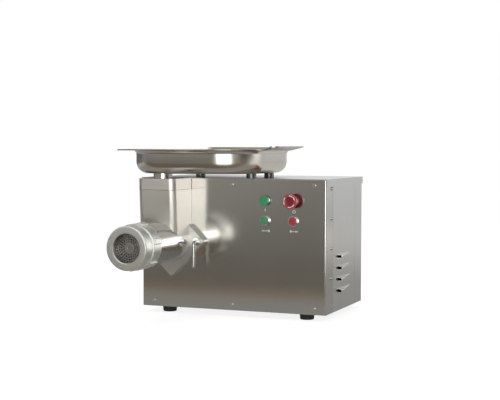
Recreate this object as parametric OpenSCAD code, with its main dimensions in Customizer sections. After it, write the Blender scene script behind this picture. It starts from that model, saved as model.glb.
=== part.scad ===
// Electric meat grinder with a box housing, an offset grinding head and a feed tray.
// Millimetres. X runs to the right, the front faces -Y, Z is up, the feet stand on Z = 0.

/* [Housing] */
// Width of the box
box_w = 552; // [540:1:600]
// Depth of the box
box_d = 338; // [336:1:380]
// Height of the box, without its feet
box_h = 368; // [350:1:400]
// Thickness of the housing sheet
sheet_t = 1.5; // [1:0.1:2]
// Outer radius of the vertical bends
bend_r = 3.5; // [2.5:0.5:6]
// Depth of the front panel's side returns
front_return = 60; // [50:1:75]
// Depth of the rear panel's side returns
rear_return = 70; // [55:1:80]
// Gap between a side panel and the returns
panel_gap = 0.8; // [0.3:0.1:2]
// Width of the stepped edge behind each return
joggle_w = 16; // [8:1:20]
// Thickness of the top cover
cover_t = 1.5; // [1:0.1:2.5]
// Height of the top cover's skirt at the sides and back
cover_skirt = 20; // [12:1:30]
// Height of the top cover's front lip
cover_lip = 3; // [2:0.5:6]
// Gap between the skirt and the box
cover_gap = 0.3; // [0.2:0.1:0.6]
// Height of the base pan's upturned edge
pan_edge = 34; // [28:1:40]

/* [Frame] */
// Leg width of the inner frame's angle steel
angle_w = 20; // [16:1:20]
// Thickness of the inner frame's steel
angle_t = 3; // [2:0.5:4]

/* [Louvres] */
// Number of louvres in a side panel
louvre_n = 4; // [2:1:5]
// Distance between louvres
louvre_pitch = 32; // [26:1:36]
// Height of the lowest louvre above the box bottom
louvre_z = 55; // [45:1:70]
// Front end of the louvres, from the front panel
louvre_y = 112; // [95:1:120]
// Length of a louvre
louvre_l = 112; // [80:1:120]
// Height of a louvre's mouth
louvre_h = 12; // [8:1:16]
// How far a louvre stands out
louvre_out = 11; // [7:1:14]

/* [Feet and screws] */
// Diameter of a foot at the top
foot_d = 42; // [34:1:48]
// Height of a foot
foot_h = 18; // [14:1:25]
// Distance of a foot from the box side
foot_x = 67; // [55:1:80]
// Distance of a foot from the front and the back
foot_y = 40; // [30:1:50]
// Diameter of the housing screws
screw_d = 5; // [4:0.5:6]
// Head diameter of the housing screws
screw_head_d = 9.5; // [8:0.5:11]
// Head height of the housing screws
screw_head_h = 2.6; // [2:0.1:3.5]
// Distance of the outer panel screws from the box side
screw_x = 35; // [28:1:45]
// Distance of the panel screws from the bottom edge
screw_low = 16; // [14:1:22]
// Distance of the panel screws from the top edge
screw_high = 15; // [12:1:20]
// Distance of the side screws from the front
side_screw_y = 49; // [46:1:52]

/* [Grinding head] */
// Distance of the barrel axis from the left side of the box
head_x = 100; // [100:1:115]
// Depth of the barrel axis below the box top
axis_drop = 178; // [174:1:186]
// Reach of the ring nut's face in front of the box
head_reach = 291; // [280:1:305]
// Outer radius of the barrel
barrel_r = 57; // [55:0.5:58]
// Bore radius of the barrel
bore_r = 40; // [38:0.5:40]
// Thread radius of the barrel's front end
neck_r = 50; // [48.5:0.5:51]
// Radius of the spigot that enters the flange
spigot_r = 45; // [43:0.5:47]
// Radial clearance of the spigot
spigot_fit = 0.1; // [0.05:0.05:0.2]
// Half of the flange's diagonal
flange_diag = 98; // [97:1:102]
// Thickness of the flange
flange_t = 20; // [18:1:24]
// Corner radius of the flange
flange_corner = 8; // [4:1:12]

/* [Throat] */
// Half the width of the throat shroud
throat_r = 54; // [52:0.5:56]
// Distance of the shroud's flat front from the box
throat_y = 116; // [112:1:124]
// Radius of the shroud's front corners
throat_corner = 15; // [12:1:18]
// Wall of the shroud
shroud_t = 2; // [1.5:0.5:3]
// Height of the collar on top of the shroud
collar_h = 31; // [25:1:36]
// Distance of the feed tube's axis from the box
feed_y = 72; // [70:1:80]
// Bore radius of the feed tube
feed_r = 27; // [25:0.5:28]
// Wall of the feed tube
feed_wall = 6; // [4:0.5:7]

/* [Ring nut and plate] */
// Outer radius of the ring nut's front part
nut_r = 59; // [58:0.5:61]
// Outer radius of the ring nut's rear part
nut_rear_r = 62; // [61:0.5:64]
// Length of the ring nut
nut_l = 86; // [80:1:92]
// Radius of the ring nut's mouth
mouth_r = 39; // [37:0.5:39.5]
// Thickness of the ring nut's front lip
lip_t = 20; // [17:0.5:23]
// Number of grip lugs on the ring nut
lug_n = 6; // [4:1:8]
// Radius of the perforated plate
plate_r = 41; // [40.5:0.1:41.5]
// Thickness of the perforated plate
plate_t = 9; // [7:0.5:10]
// Diameter of the plate's holes
hole_d = 4.8; // [3.5:0.1:5.2]
// Distance between the plate's holes
hole_pitch = 6.9; // [6.4:0.1:7]
// Radius of the innermost ring of holes
hole_ring = 17; // [16.8:0.1:17.5]
// Distance between the rings of holes
ring_step = 6.4; // [6:0.1:6.5]
// Rings of holes outside the innermost one
hole_rings = 3; // [2:1:3]

/* [Auger] */
// Thickness of the knife
knife_t = 10; // [8:0.5:12]
// Pitch of the auger's flight
auger_pitch = 52; // [45:1:60]
// Core radius of the auger
core_r = 15; // [14.5:0.5:18]
// Radius of the auger's shank
shank_r = 14; // [13:0.5:14]
// Width of the square drive tang
tang_w = 19; // [16:0.5:19]
// Radius of the stud that centres the plate
stud_r = 6; // [5:0.5:7]
// Width of the knife's square
square_w = 14; // [12:0.5:16]

/* [Clamp handle] */
// Distance of the clamp screw from the barrel axis
clamp_x = 80; // [79:0.5:82]
// Radius of the clamp boss
clamp_boss_r = 10.5; // [9:0.5:11]
// Height of the clamp boss
clamp_boss_h = 8; // [6:0.5:10]
// Radius of the handle's rod
clamp_rod_r = 4.5; // [4:0.5:5]
// How far the rod stands in front of the flange
clamp_out = 24; // [20:1:30]
// Length of the handle's lower arm
clamp_arm = 68; // [60:1:75]

/* [Tray] */
// Left side of the basin, from the left side of the box
tray_x = 12; // [8:1:24]
// Width of the basin at the rim
tray_w = 382; // [370:1:392]
// Front of the basin, from the front of the box
tray_front = 160; // [152:1:170]
// Depth of the basin at the rim, front to back
tray_l = 390; // [375:1:400]
// Height of the tray's rim above the box
tray_rim = 80; // [74:1:90]
// Height of the basin's underside above the box
tray_lift = 14; // [10:1:20]
// Corner radius of the basin
tray_corner = 125; // [110:1:132]
// Slope of the basin's walls, as an inset at the bottom
tray_slope = 6; // [4:1:12]
// Sheet of the tray
tray_t = 1.5; // [1:0.1:2]
// Width of the side wings
wing_w = 54; // [45:1:60]
// Length of the side wings
wing_l = 220; // [200:1:260]
// Rise of the right wing's tip
wing_rise = 10; // [4:1:14]
// Height of the raised lip at the back of the rim
back_lip = 6; // [4:1:10]
// Length of the spout below the basin
spout_l = 40; // [34:1:50]
// Radial clearance of the spout in the feed tube
spout_fit = 1; // [0.5:0.1:1.5]
// Radius of the tray's support posts
post_r = 14; // [10:1:16]

/* [Controls] */
// Left column of buttons, from the left side of the box
button_x1 = 376; // [370:1:385]
// Right column of buttons
button_x2 = 458; // [450:1:470]
// Upper row of buttons, below the box top
button_z1 = 60; // [55:1:70]
// Lower row of buttons
button_z2 = 115; // [112:1:125]
// Diameter of the panel holes for the buttons
button_hole = 22.3; // [22.1:0.1:22.6]
// Diameter of the start button
start_d = 28; // [26:0.5:30]
// Diameter of the direction buttons
direction_d = 21; // [20:0.5:21]
// Outer diameter of the bezels
bezel_d = 29; // [28:0.5:31]
// Diameter of the emergency stop
estop_d = 40; // [36:1:42]
// How far the emergency stop stands out
estop_out = 34; // [30:1:38]
// Travel of a push button
button_travel = 3.5; // [3:0.1:4]
// Travel of the emergency stop
estop_travel = 5; // [4:0.5:6]

/* [Drive] */
// Module of the slow gear pair
slow_m = 3; // [2.9:0.05:3.1]
// Module of the fast gear pair
fast_m = 2.5; // [2.4:0.05:2.6]
// Play between gear teeth
backlash = 0.3; // [0.2:0.05:0.4]
// Radius of the output shaft
out_r = 20; // [19:0.5:21]
// Radius of the layshaft
lay_r = 12.5; // [11:0.5:13]
// Radius of the motor shaft
motor_shaft_r = 10; // [9:0.5:11]
// Wall of the gearbox
gearbox_wall = 7; // [5:0.5:8]
// Radius of the motor casing
motor_r = 75; // [72:1:80]
// Length of the motor casing
motor_l = 140; // [130:1:150]
// Radial play of the shafts in their bearings
shaft_fit = 0.05; // [0.02:0.01:0.08]

/* [Hidden] */
$fn = 64;

steel = "silver";
gap = 0.3;
seat_gap = 0.1;
hole_play = 0.25;
top_z = foot_h + box_h;
axis_z = top_z - axis_drop;
shell_top = top_z - cover_t;
gland_out = 26;
gland_side = 90;
gland_x = box_w - gland_side;
gland_rise = 60;
gland_z = foot_h + gland_rise;
gland_r = 10;
mid_x = (box_w + louvre_out + tray_x - wing_w) / 2;
mid_y = (box_d + gland_out - head_reach) / 2;

module place(c) {
    color(c)
        translate([-mid_x, -mid_y, 0])
            children();
}

// A round bar along Y
module rod_y(r, y0, y1, x, z) {
    translate([x, y0, z])
        rotate([-90, 0, 0])
            cylinder(r = r, h = y1 - y0);
}

// A round bar along X
module rod_x(r, x0, x1, y, z) {
    translate([x0, y, z])
        rotate([0, 90, 0])
            cylinder(r = r, h = x1 - x0);
}

// A flat shape, drawn as X and Z, between two places on Y
module plate_y(y0, y1) {
    translate([0, y1, 0])
        rotate([90, 0, 0])
            linear_extrude(y1 - y0)
                children();
}

module block(a, b) {
    translate(a)
        cube(b - a);
}

module round_rect(x0, y0, x1, y1, r) {
    translate([x0 + r, y0])
        square([x1 - x0 - 2 * r, y1 - y0]);
    translate([x0, y0 + r])
        square([x1 - x0, y1 - y0 - 2 * r]);
    for (x = [x0 + r, x1 - r], y = [y0 + r, y1 - r])
        translate([x, y])
            circle(r);
}

// A headed screw along +Z with its head below Z = 0
module screw(r, head_r, head_h, l) {
    translate([0, 0, -head_h])
        cylinder(r = head_r, h = head_h);
    cylinder(r = r, h = l);
}

// ---- Housing ----

panel_rows = [foot_h + screw_low, shell_top - screw_high];
panel_columns = [screw_x, box_w / 2, box_w - screw_x];
side_rows = [26, 108, 190, 272];
screw_l = 12;
screw_hole = screw_d + 2 * hole_play;

module panel_screw_holes(y0, y1) {
    for (x = panel_columns, z = panel_rows)
        rod_y(screw_hole / 2, y0, y1, x, z);
}

module foot_places() {
    for (x = [foot_x, box_w - foot_x], y = [foot_y, box_d - foot_y])
        translate([x, y, 0])
            children();
}

module base_pan() {
    place(steel)
        difference() {
            translate([0, 0, foot_h])
                linear_extrude(pan_edge)
                    round_rect(sheet_t, sheet_t, box_w - sheet_t, box_d - sheet_t, bend_r - sheet_t);
            block([2 * sheet_t, 2 * sheet_t, foot_h + sheet_t],
                [box_w - 2 * sheet_t, box_d - 2 * sheet_t, foot_h + pan_edge + 1]);
            panel_screw_holes(0, box_d);
            foot_places()
                cylinder(r = foot_bolt_r + hole_play, h = top_z);
        }
}

// A post of angle steel, with legs that run towards sx and sy
module corner_post(x, y, sx, sy) {
    h = shell_top - foot_h - sheet_t;
    translate([x, y, foot_h + sheet_t])
        mirror([sx < 0 ? 1 : 0, 0, 0])
            mirror([0, sy < 0 ? 1 : 0, 0]) {
                block([0, 0, 0], [angle_w, angle_t, h]);
                block([0, 0, 0], [angle_t, angle_w, h]);
            }
}

frame_x = [2 * sheet_t, box_w - 2 * sheet_t];
frame_y = [2 * sheet_t, box_d - 2 * sheet_t];

module top_rail_box(inset, drop) {
    block([frame_x[0] + inset, frame_y[0] + inset, shell_top - drop],
        [frame_x[1] - inset, frame_y[1] - inset, shell_top]);
}

module inner_frame() {
    place("dimgray")
        difference() {
            union() {
                corner_post(frame_x[0], frame_y[0], 1, 1);
                corner_post(frame_x[1], frame_y[0], -1, 1);
                corner_post(frame_x[0], frame_y[1], 1, -1);
                corner_post(frame_x[1], frame_y[1], -1, -1);
                difference() {
                    top_rail_box(0, angle_w);
                    translate([0, 0, -angle_t])
                        top_rail_box(angle_t, angle_w);
                    translate([0, 0, 1])
                        top_rail_box(angle_w, angle_w + angle_t);
                }
            }
            for (x = panel_columns)
                rod_y(screw_hole / 2, 0, box_d, x, panel_rows[1]);
        }
}

// Plan of a sheet with bent returns, open towards +Y
module bent_plan(depth) {
    difference() {
        bent_block(0, depth, bend_r);
        bent_block(sheet_t, depth + 1, bend_r - sheet_t);
    }
}

module bent_block(inset, depth, r) {
    translate([inset, inset + r])
        square([box_w - 2 * inset, depth - inset - r]);
    translate([inset + r, inset])
        square([box_w - 2 * (inset + r), depth - inset]);
    for (x = [inset + r, box_w - inset - r])
        translate([x, inset + r])
            circle(r);
}

module side_screw_holes() {
    for (z = side_rows)
        rod_x(screw_hole / 2, -1, box_w + 1, side_screw_y, top_z - z);
}

buttons = [
    [button_x1, top_z - button_z1],
    [button_x2, top_z - button_z1],
    [button_x1, top_z - button_z2],
    [button_x2, top_z - button_z2]
];

module front_panel() {
    place(steel)
        difference() {
            translate([0, 0, foot_h])
                linear_extrude(shell_top - foot_h)
                    bent_plan(front_return);
            panel_screw_holes(-1, sheet_t + 1);
            side_screw_holes();
            rod_y(hub_hole_r, -1, sheet_t + 1, head_x, axis_z);
            flange_bolt_places()
                rod_y(flange_bolt_r + hole_play, -1, sheet_t + 1, 0, 0);
            for (b = buttons)
                rod_y(button_hole / 2, -1, sheet_t + 1, b[0], b[1]);
        }
}

module rear_panel() {
    place(steel)
        difference() {
            translate([0, box_d, foot_h])
                mirror([0, 1, 0])
                    linear_extrude(shell_top - foot_h)
                        bent_plan(rear_return);
            panel_screw_holes(box_d - sheet_t - 1, box_d + 1);
            rod_y(gland_r + hole_play, box_d - sheet_t - 1, box_d + 1, gland_x, gland_z);
        }
}

// A pressed scoop that is open at its front end, for a sheet whose outer face is X = 0
module scoop(inset) {
    intersection() {
        translate([0, 0, -louvre_h])
            linear_extrude(2 * louvre_h)
                polygon([
                    [-sheet_t - inset, 0],
                    [-sheet_t - inset, louvre_l - 3 * inset],
                    [0, louvre_l - 3 * inset],
                    [louvre_out * 0.72 - inset, louvre_l * 0.5],
                    [louvre_out - inset, louvre_l * 0.12],
                    [louvre_out - inset, 0]
                ]);
        plate_y(-1, louvre_l + 1)
            polygon([
                [-sheet_t - inset, -louvre_h / 2 + inset],
                [0, -louvre_h / 2 + inset],
                [louvre_out * 0.8 - inset, -louvre_h / 2 + 2.5],
                [louvre_out - inset, -louvre_h / 2 + 4],
                [louvre_out - inset, louvre_h / 2 - 4],
                [louvre_out * 0.8 - inset, louvre_h / 2 - 2.5],
                [0, louvre_h / 2 - inset],
                [-sheet_t - inset, louvre_h / 2 - inset]
            ]);
    }
}

side_y = [front_return + panel_gap, box_d - rear_return - panel_gap];
joggle_z = foot_h + pan_edge + gap;

// The right side panel, with its outer face at X = 0
module side_panel_shape() {
    difference() {
        union() {
            block([-sheet_t, side_y[0], foot_h], [0, side_y[1], shell_top]);
            block([-2 * sheet_t, front_return - joggle_w, joggle_z],
                [-sheet_t, side_y[0] + joggle_w / 2, shell_top]);
            block([-2 * sheet_t, side_y[1] - joggle_w / 2, joggle_z],
                [-sheet_t, box_d - rear_return + joggle_w, shell_top]);
            louvre_places()
                scoop(0);
        }
        louvre_places()
            translate([0, -0.5, 0])
                scoop(sheet_t);
        for (z = side_rows)
            rod_x(screw_hole / 2, -3 * sheet_t, 1, side_screw_y, top_z - z);
    }
}

module louvre_places() {
    for (i = [0:louvre_n - 1])
        translate([0, louvre_y, foot_h + louvre_z + i * louvre_pitch])
            children();
}

module right_panel() {
    place(steel)
        translate([box_w, 0, 0])
            side_panel_shape();
}

module left_panel() {
    place(steel)
        mirror([1, 0, 0])
            side_panel_shape();
}

module top_cover() {
    out = cover_gap + cover_t;
    place(steel)
        difference() {
            block([-out, -out, top_z - cover_skirt], [box_w + out, box_d + out, top_z]);
            block([-cover_gap, -cover_gap, 0], [box_w + cover_gap, box_d + cover_gap, shell_top]);
            block([-out - 1, -out - 1, 0], [box_w + out + 1, -cover_gap, top_z - cover_lip]);
            for (x = panel_columns)
                rod_y(screw_hole / 2, box_d - 1, box_d + out + 1, x, panel_rows[1]);
        }
}

module front_panel_screws() {
    place("gainsboro")
        for (x = panel_columns, z = panel_rows)
            translate([x, 0, z])
                rotate([-90, 0, 0])
                    screw(screw_d / 2, screw_head_d / 2, screw_head_h, screw_l);
}

module rear_panel_screws() {
    place("gainsboro")
        for (x = panel_columns, row = [0, 1])
            translate([x, box_d + row * (cover_gap + cover_t), panel_rows[row]])
                rotate([90, 0, 0])
                    screw(screw_d / 2, screw_head_d / 2, screw_head_h, screw_l);
}

module side_panel_screws() {
    place("gainsboro")
        for (z = side_rows) {
            translate([box_w, side_screw_y, top_z - z])
                rotate([0, -90, 0])
                    screw(screw_d / 2, screw_head_d / 2, screw_head_h, screw_l);
            translate([0, side_screw_y, top_z - z])
                rotate([0, 90, 0])
                    screw(screw_d / 2, screw_head_d / 2, screw_head_h, screw_l);
        }
}

foot_bolt_r = 3;
foot_head_r = 5.5;
foot_recess = 7;
foot_taper = 2;

module rubber_feet() {
    place([0.1, 0.1, 0.1])
        foot_places()
            difference() {
                cylinder(r1 = foot_d / 2 - foot_taper, r2 = foot_d / 2, h = foot_h);
                translate([0, 0, -1])
                    cylinder(r = foot_head_r + 2, h = foot_recess + 1);
                cylinder(r = foot_bolt_r + hole_play, h = foot_h + 1);
            }
}

module foot_bolts() {
    place("gainsboro")
        foot_places()
            translate([0, 0, foot_recess])
                screw(foot_bolt_r, foot_head_r, 4, foot_h - foot_recess + sheet_t + 6);
}

gland_hex_r = 15;
gland_hex_l = 8;
gland_bore_r = 5;
gland_nut_l = 5;

module cable_gland() {
    place([0.15, 0.15, 0.16])
        difference() {
            union() {
                rod_y(gland_r, box_d - sheet_t - gland_nut_l - 2, box_d, gland_x, gland_z);
                translate([gland_x, box_d, gland_z])
                    rotate([-90, 0, 0])
                        cylinder(r = gland_hex_r, h = gland_hex_l, $fn = 6);
                rod_y(gland_r + 1, box_d, box_d + gland_out, gland_x, gland_z);
            }
            rod_y(gland_bore_r, 0, box_d + gland_out + 1, gland_x, gland_z);
        }
}

module gland_nut() {
    place([0.15, 0.15, 0.16])
        difference() {
            translate([gland_x, box_d - sheet_t, gland_z])
                rotate([90, 0, 0])
                    cylinder(r = gland_hex_r, h = gland_nut_l, $fn = 6);
            rod_y(gland_r + hole_play, 0, box_d, gland_x, gland_z);
        }
}

// ---- Head flange and clamp ----

flange_half = (flange_diag + flange_corner * (sqrt(2) - 1)) / sqrt(2);
flange_bolt_r = 5;
flange_bolt_place = 62;
flange_bolt_hold = 13;
flange_bolt_head_r = 8;
flange_bolt_head_h = 6;
clamp_stud_r = 6;
clamp_stud_l = flange_t - 4;
shoe_r = 5;
pin_r = 2.5;
pin_l = 18;
pin_out = 4;
pin_place = 65.5;
pin_angle = 248;

// Children are drawn about the barrel axis, as X and Z
module on_axis() {
    translate([head_x, axis_z])
        children();
}

module flange_outline(grow) {
    side = flange_half + grow;
    on_axis()
        rotate(45)
            round_rect(-side, -side, side, side, flange_corner + grow);
}

module flange_bolt_places() {
    for (a = [45:90:315])
        translate([head_x + flange_bolt_place * cos(a), 0, axis_z + flange_bolt_place * sin(a)])
            children();
}

module pin_places() {
    translate([head_x + pin_place * cos(pin_angle), 0, axis_z + pin_place * sin(pin_angle)])
        children();
}

module head_flange() {
    clamp_at = head_x + clamp_x;
    place(steel)
        difference() {
            plate_y(-flange_t, 0)
                flange_outline(0);
            rod_y(spigot_r + spigot_fit, -flange_t - 1, 1, head_x, axis_z);
            rod_y(clamp_stud_r + shaft_fit, -flange_t - 1, -flange_t + clamp_stud_l + seat_gap,
                clamp_at, axis_z);
            rod_x(shoe_r + hole_play, head_x, clamp_at, -flange_t / 2, axis_z);
            flange_bolt_places()
                rod_y(flange_bolt_r + hole_play, -flange_bolt_hold, 1, 0, 0);
            pin_places()
                rod_y(pin_r + seat_gap, -flange_t - 1, 1, 0, 0);
        }
}

module flange_bolts() {
    place("dimgray")
        flange_bolt_places()
            translate([0, sheet_t + cover_plate, 0])
                rotate([90, 0, 0])
                    screw(flange_bolt_r, flange_bolt_head_r, flange_bolt_head_h,
                        sheet_t + cover_plate + flange_bolt_hold - 1);
}

module clamp_shoe() {
    place("goldenrod")
        rod_x(shoe_r, head_x + spigot_r + spigot_fit + 1, head_x + clamp_x - clamp_stud_r - gap,
            -flange_t / 2, axis_z);
}

module locating_pin() {
    place("gainsboro")
        pin_places()
            rod_y(pin_r, -flange_t - pin_out, -flange_t - pin_out + pin_l, 0, 0);
}

module clamp_handle() {
    rod_y0 = -flange_t - clamp_out;
    elbow_r = 2 * clamp_rod_r;
    place("gainsboro")
        translate([head_x + clamp_x, 0, axis_z]) {
            rod_y(clamp_stud_r, -flange_t - gap, -flange_t + clamp_stud_l, 0, 0);
            rod_y(clamp_boss_r, -flange_t - gap - clamp_boss_h, -flange_t - gap, 0, 0);
            rod_y(clamp_rod_r, rod_y0 + elbow_r, -flange_t - gap, 0, 0);
            translate([0, rod_y0 + elbow_r, -elbow_r])
                rotate([0, -90, 0])
                    rotate([0, 0, -90])
                        rotate_extrude(angle = 90)
                            translate([elbow_r, 0])
                                circle(clamp_rod_r);
            translate([0, rod_y0, -clamp_arm])
                cylinder(r = clamp_rod_r, h = clamp_arm - elbow_r);
            translate([0, rod_y0, -clamp_arm])
                sphere(clamp_rod_r);
        }
}

// ---- Grinding head ----

face_y = -head_reach;
plate_front = face_y + lip_t + seat_gap;
plate_back = plate_front + plate_t;
seat_y = plate_back + seat_gap;
seat_depth = 6;
neck_front = seat_y - seat_depth;
nut_back = face_y + nut_l;
shoulder_y = nut_back + 0.5;
spigot_back = -1;
bore_back = -flange_t - 3;
bushing_r = 20;
knife_y = seat_y + seat_gap;
flight_front = knife_y + knife_t + 1;
flight_back = bore_back - 1;
shroud_back = -(cover_t + cover_gap + gap);
seam_z = top_z - collar_h;
collar_top = 3;
bore_play = 0.5;

module grinder_body() {
    place("silver")
        difference() {
            union() {
                rod_y(barrel_r, shoulder_y, -flange_t - seat_gap, head_x, axis_z);
                rod_y(neck_r, neck_front, shoulder_y, head_x, axis_z);
                rod_y(spigot_r, -flange_t - seat_gap, spigot_back, head_x, axis_z);
                translate([head_x, -feed_y, axis_z])
                    cylinder(r = feed_r + feed_wall, h = top_z - collar_top - axis_z);
            }
            rod_y(bore_r, neck_front - 1, bore_back, head_x, axis_z);
            rod_y(plate_r + gap, neck_front - 1, seat_y, head_x, axis_z);
            rod_y(bushing_r, bore_back - 1, 1, head_x, axis_z);
            translate([head_x, -feed_y, axis_z])
                cylinder(r = feed_r, h = top_z);
        }
}

// Plan of the throat, drawn in by a margin: a flat front, round corners and straight sides
module throat_plan(margin) {
    half = throat_r - margin;
    r = throat_corner - margin;
    translate([head_x - half, -throat_y + throat_corner])
        square([2 * half, throat_y - throat_corner + shroud_back]);
    translate([head_x - half + r, -throat_y + margin])
        square([2 * (half - r), throat_corner]);
    for (x = [head_x - half + r, head_x + half - r])
        translate([x, -throat_y + throat_corner])
            circle(r);
}

module throat_wall(z0, z1) {
    translate([0, 0, z0])
        linear_extrude(z1 - z0)
            difference() {
                throat_plan(0);
                throat_plan(shroud_t);
                translate([head_x - throat_r + shroud_t, shroud_back - 1])
                    square([2 * (throat_r - shroud_t), 2]);
            }
}

module throat_shroud() {
    place("silver")
        difference() {
            throat_wall(axis_z, seam_z);
            rod_y(barrel_r, face_y, 0, head_x, axis_z);
            plate_y(-flange_t - gap, 1)
                flange_outline(gap);
        }
}

module throat_collar() {
    place("silver") {
        throat_wall(seam_z, top_z - collar_top);
        translate([0, 0, top_z - collar_top])
            linear_extrude(collar_top)
                difference() {
                    throat_plan(0);
                    translate([head_x, -feed_y])
                        circle(feed_r);
                }
    }
}

module head_bushing() {
    place("goldenrod")
        difference() {
            rod_y(bushing_r, bore_back, spigot_back, head_x, axis_z);
            rod_y(shank_r + shaft_fit, bore_back - 1, 1, head_x, axis_z);
        }
}

module auger() {
    flight_l = flight_back - flight_front;
    sector = 56;
    tang_back = output_front + socket_l - 2;
    place("silver")
        translate([head_x, 0, axis_z]) {
            translate([0, flight_back, 0])
                rotate([90, 0, 0])
                    linear_extrude(flight_l, twist = -360 * flight_l / auger_pitch, slices = 72, $fn = 12)
                        union() {
                            circle(core_r, $fn = 18);
                            polygon(concat([[0, 0]], [for (a = [0:14:sector])
                                (bore_r - bore_play) * [cos(a), sin(a)]]));
                        }
            rod_y(shank_r, flight_back - 1, spigot_back, 0, 0);
            block([-tang_w / 2, spigot_back, -tang_w / 2], [tang_w / 2, tang_back, tang_w / 2]);
            block([-square_w / 2, knife_y, -square_w / 2], [square_w / 2, flight_front + 1, square_w / 2]);
            rod_y(stud_r, plate_front + 1, knife_y, 0, 0);
        }
}

knife_hub_r = square_w / 2 * sqrt(2) + 4;

module knife() {
    place("gainsboro")
        plate_y(knife_y, knife_y + knife_t)
            on_axis()
                difference() {
                    union() {
                        circle(knife_hub_r);
                        for (a = [20:90:290])
                            rotate(a)
                                polygon([[0, -6], [bore_r - 3, -1], [bore_r - 3, 7], [0, 8]]);
                    }
                    square(square_w + 0.2, center = true);
                }
}

module perforated_plate() {
    place("dimgray")
        plate_y(plate_front, plate_back)
            on_axis()
                difference() {
                    circle(plate_r);
                    circle(stud_r + seat_gap);
                    for (i = [0:hole_rings]) {
                        r = hole_ring + i * ring_step;
                        n = floor(2 * PI * r / hole_pitch);
                        for (k = [0:n - 1])
                            rotate(360 * k / n + 8 * i)
                                translate([r, 0])
                                    circle(hole_d / 2, $fn = 24);
                    }
                }
}

module ring_nut() {
    rear_l = nut_l / 2 + 2;
    chamfer = 5;
    place("lightgray")
        difference() {
            union() {
                rod_y(nut_r, face_y, nut_back, head_x, axis_z);
                rod_y(nut_rear_r, nut_back - rear_l, nut_back, head_x, axis_z);
                plate_y(nut_back - rear_l + 4, nut_back - 4)
                    on_axis()
                        for (i = [0:lug_n - 1])
                            rotate(360 * i / lug_n + 15)
                                translate([0, -8])
                                    square([nut_rear_r + 4, 16]);
            }
            rod_y(mouth_r, face_y - 1, nut_back, head_x, axis_z);
            translate([head_x, face_y, axis_z])
                rotate([-90, 0, 0])
                    cylinder(r1 = mouth_r + chamfer, r2 = mouth_r, h = chamfer);
            rod_y(plate_r + gap, face_y + lip_t, nut_back, head_x, axis_z);
            rod_y(neck_r + gap, neck_front - 1, nut_back + 1, head_x, axis_z);
        }
}

// ---- Tray ----

tray_under = top_z + tray_lift;
rim_z = top_z + tray_rim;
rim_w = 5;
lip_inset = 70;
bottom_r = 32;
post_places = [[326, 22], [326, 160], [110, 160]];

// Plan of the basin, drawn in by a margin
module basin_plan(margin) {
    translate([tray_x, -tray_front])
        round_rect(margin, margin, tray_w - margin, tray_l - margin, tray_corner - margin, $fn = 96);
}

// The basin's body, drawn in by a wall and raised by it
module basin_form(wall, extra) {
    drop = bottom_r * (1 - cos(45));
    hull() {
        for (s = [[0, bottom_r], [drop, drop], [bottom_r, 0]])
            translate([0, 0, tray_under + wall + s[0]])
                linear_extrude(0.1)
                    basin_plan(tray_slope + wall + s[1]);
        translate([0, 0, rim_z + extra - 0.1])
            linear_extrude(0.1)
                basin_plan(wall);
    }
}

module wing_plan(w) {
    round_rect(0, 0, w, wing_l, 22);
}

module feed_tray() {
    spout_r = feed_r - spout_fit;
    wing_y = -tray_front + (tray_l - wing_l) / 2;
    tilt = asin(wing_rise / wing_w);
    place("silver")
        difference() {
            union() {
                basin_form(0, 0);
                translate([0, 0, rim_z - tray_t])
                    linear_extrude(tray_t)
                        basin_plan(-rim_w);
                translate([tray_x - wing_w, wing_y, rim_z - tray_t])
                    linear_extrude(tray_t)
                        wing_plan(wing_w + 30);
                translate([tray_x + tray_w, wing_y, rim_z - tray_t])
                    rotate([0, -tilt, 0])
                        translate([-3, 0, 0])
                            linear_extrude(tray_t)
                                wing_plan(wing_w + 2);
                intersection() {
                    translate([0, 0, rim_z - tray_t])
                        linear_extrude(back_lip + tray_t)
                            difference() {
                                basin_plan(-rim_w);
                                basin_plan(-rim_w + tray_t);
                            }
                    block([tray_x + lip_inset, tray_l - tray_front - tray_corner, 0],
                        [tray_x + tray_w - tray_corner / 2, tray_l, rim_z + 50]);
                }
                translate([head_x, -feed_y, tray_under - spout_l])
                    cylinder(r = spout_r, h = spout_l + tray_t);
            }
            basin_form(tray_t, 1);
            translate([head_x, -feed_y, tray_under - spout_l - 1])
                cylinder(r = spout_r - tray_t, h = spout_l + 4);
        }
}

module tray_posts() {
    place("dimgray")
        for (p = post_places)
            translate([p[0], p[1], top_z])
                cylinder(r = post_r, h = tray_lift - gap);
}

// ---- Gearbox ----

slow_teeth = 16;
output_teeth = 42;
fast_teeth = 15;
lay_teeth = 40;
pressure = 25;
lay_x = head_x + slow_m * (slow_teeth + output_teeth) / 2;
motor_x = lay_x + fast_m * (fast_teeth + lay_teeth) / 2;
output_tip = slow_m * (output_teeth / 2 + 1);
cover_plate = 12;
cover_back = sheet_t + cover_plate;
hub_hole_r = 34;
case_back = 88;
case_wall = 16;
case_end = case_back + case_wall;
case_left = head_x - output_tip - 2 - gearbox_wall;
case_right = motor_x + 62;
case_half = output_tip + 2 + gearbox_wall;
output_boss_r = 48;
lay_boss_r = 32;
bearing_w = 18;
bearing_r = 40;
lay_bearing_w = 14;
lay_bearing_r = 26;
output_front = sheet_t + 1;
socket_l = 24;
shaft_end_play = 0.5;
output_bearing_y = [8, case_back + 2];
lay_bearing_y = [cover_back - 4, case_back];
output_gear_y = [28, 54];
slow_pinion_y = [27, 55];
lay_gear_y = [62, 82];
fast_pinion_y = [61, 83];

// Angle that an involute from base radius rb has turned at radius r
function involute(rb, r) = let (a = acos(min(1, rb / r))) tan(a) * 180 / PI - a;

// Half the angle of a tooth at radius r
function half_tooth(m, z, r) =
    let (pitch_r = m * z / 2, rb = pitch_r * cos(pressure), play = backlash / 4 / pitch_r * 180 / PI)
    90 / z + involute(rb, pitch_r) - involute(rb, r) - play;

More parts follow.
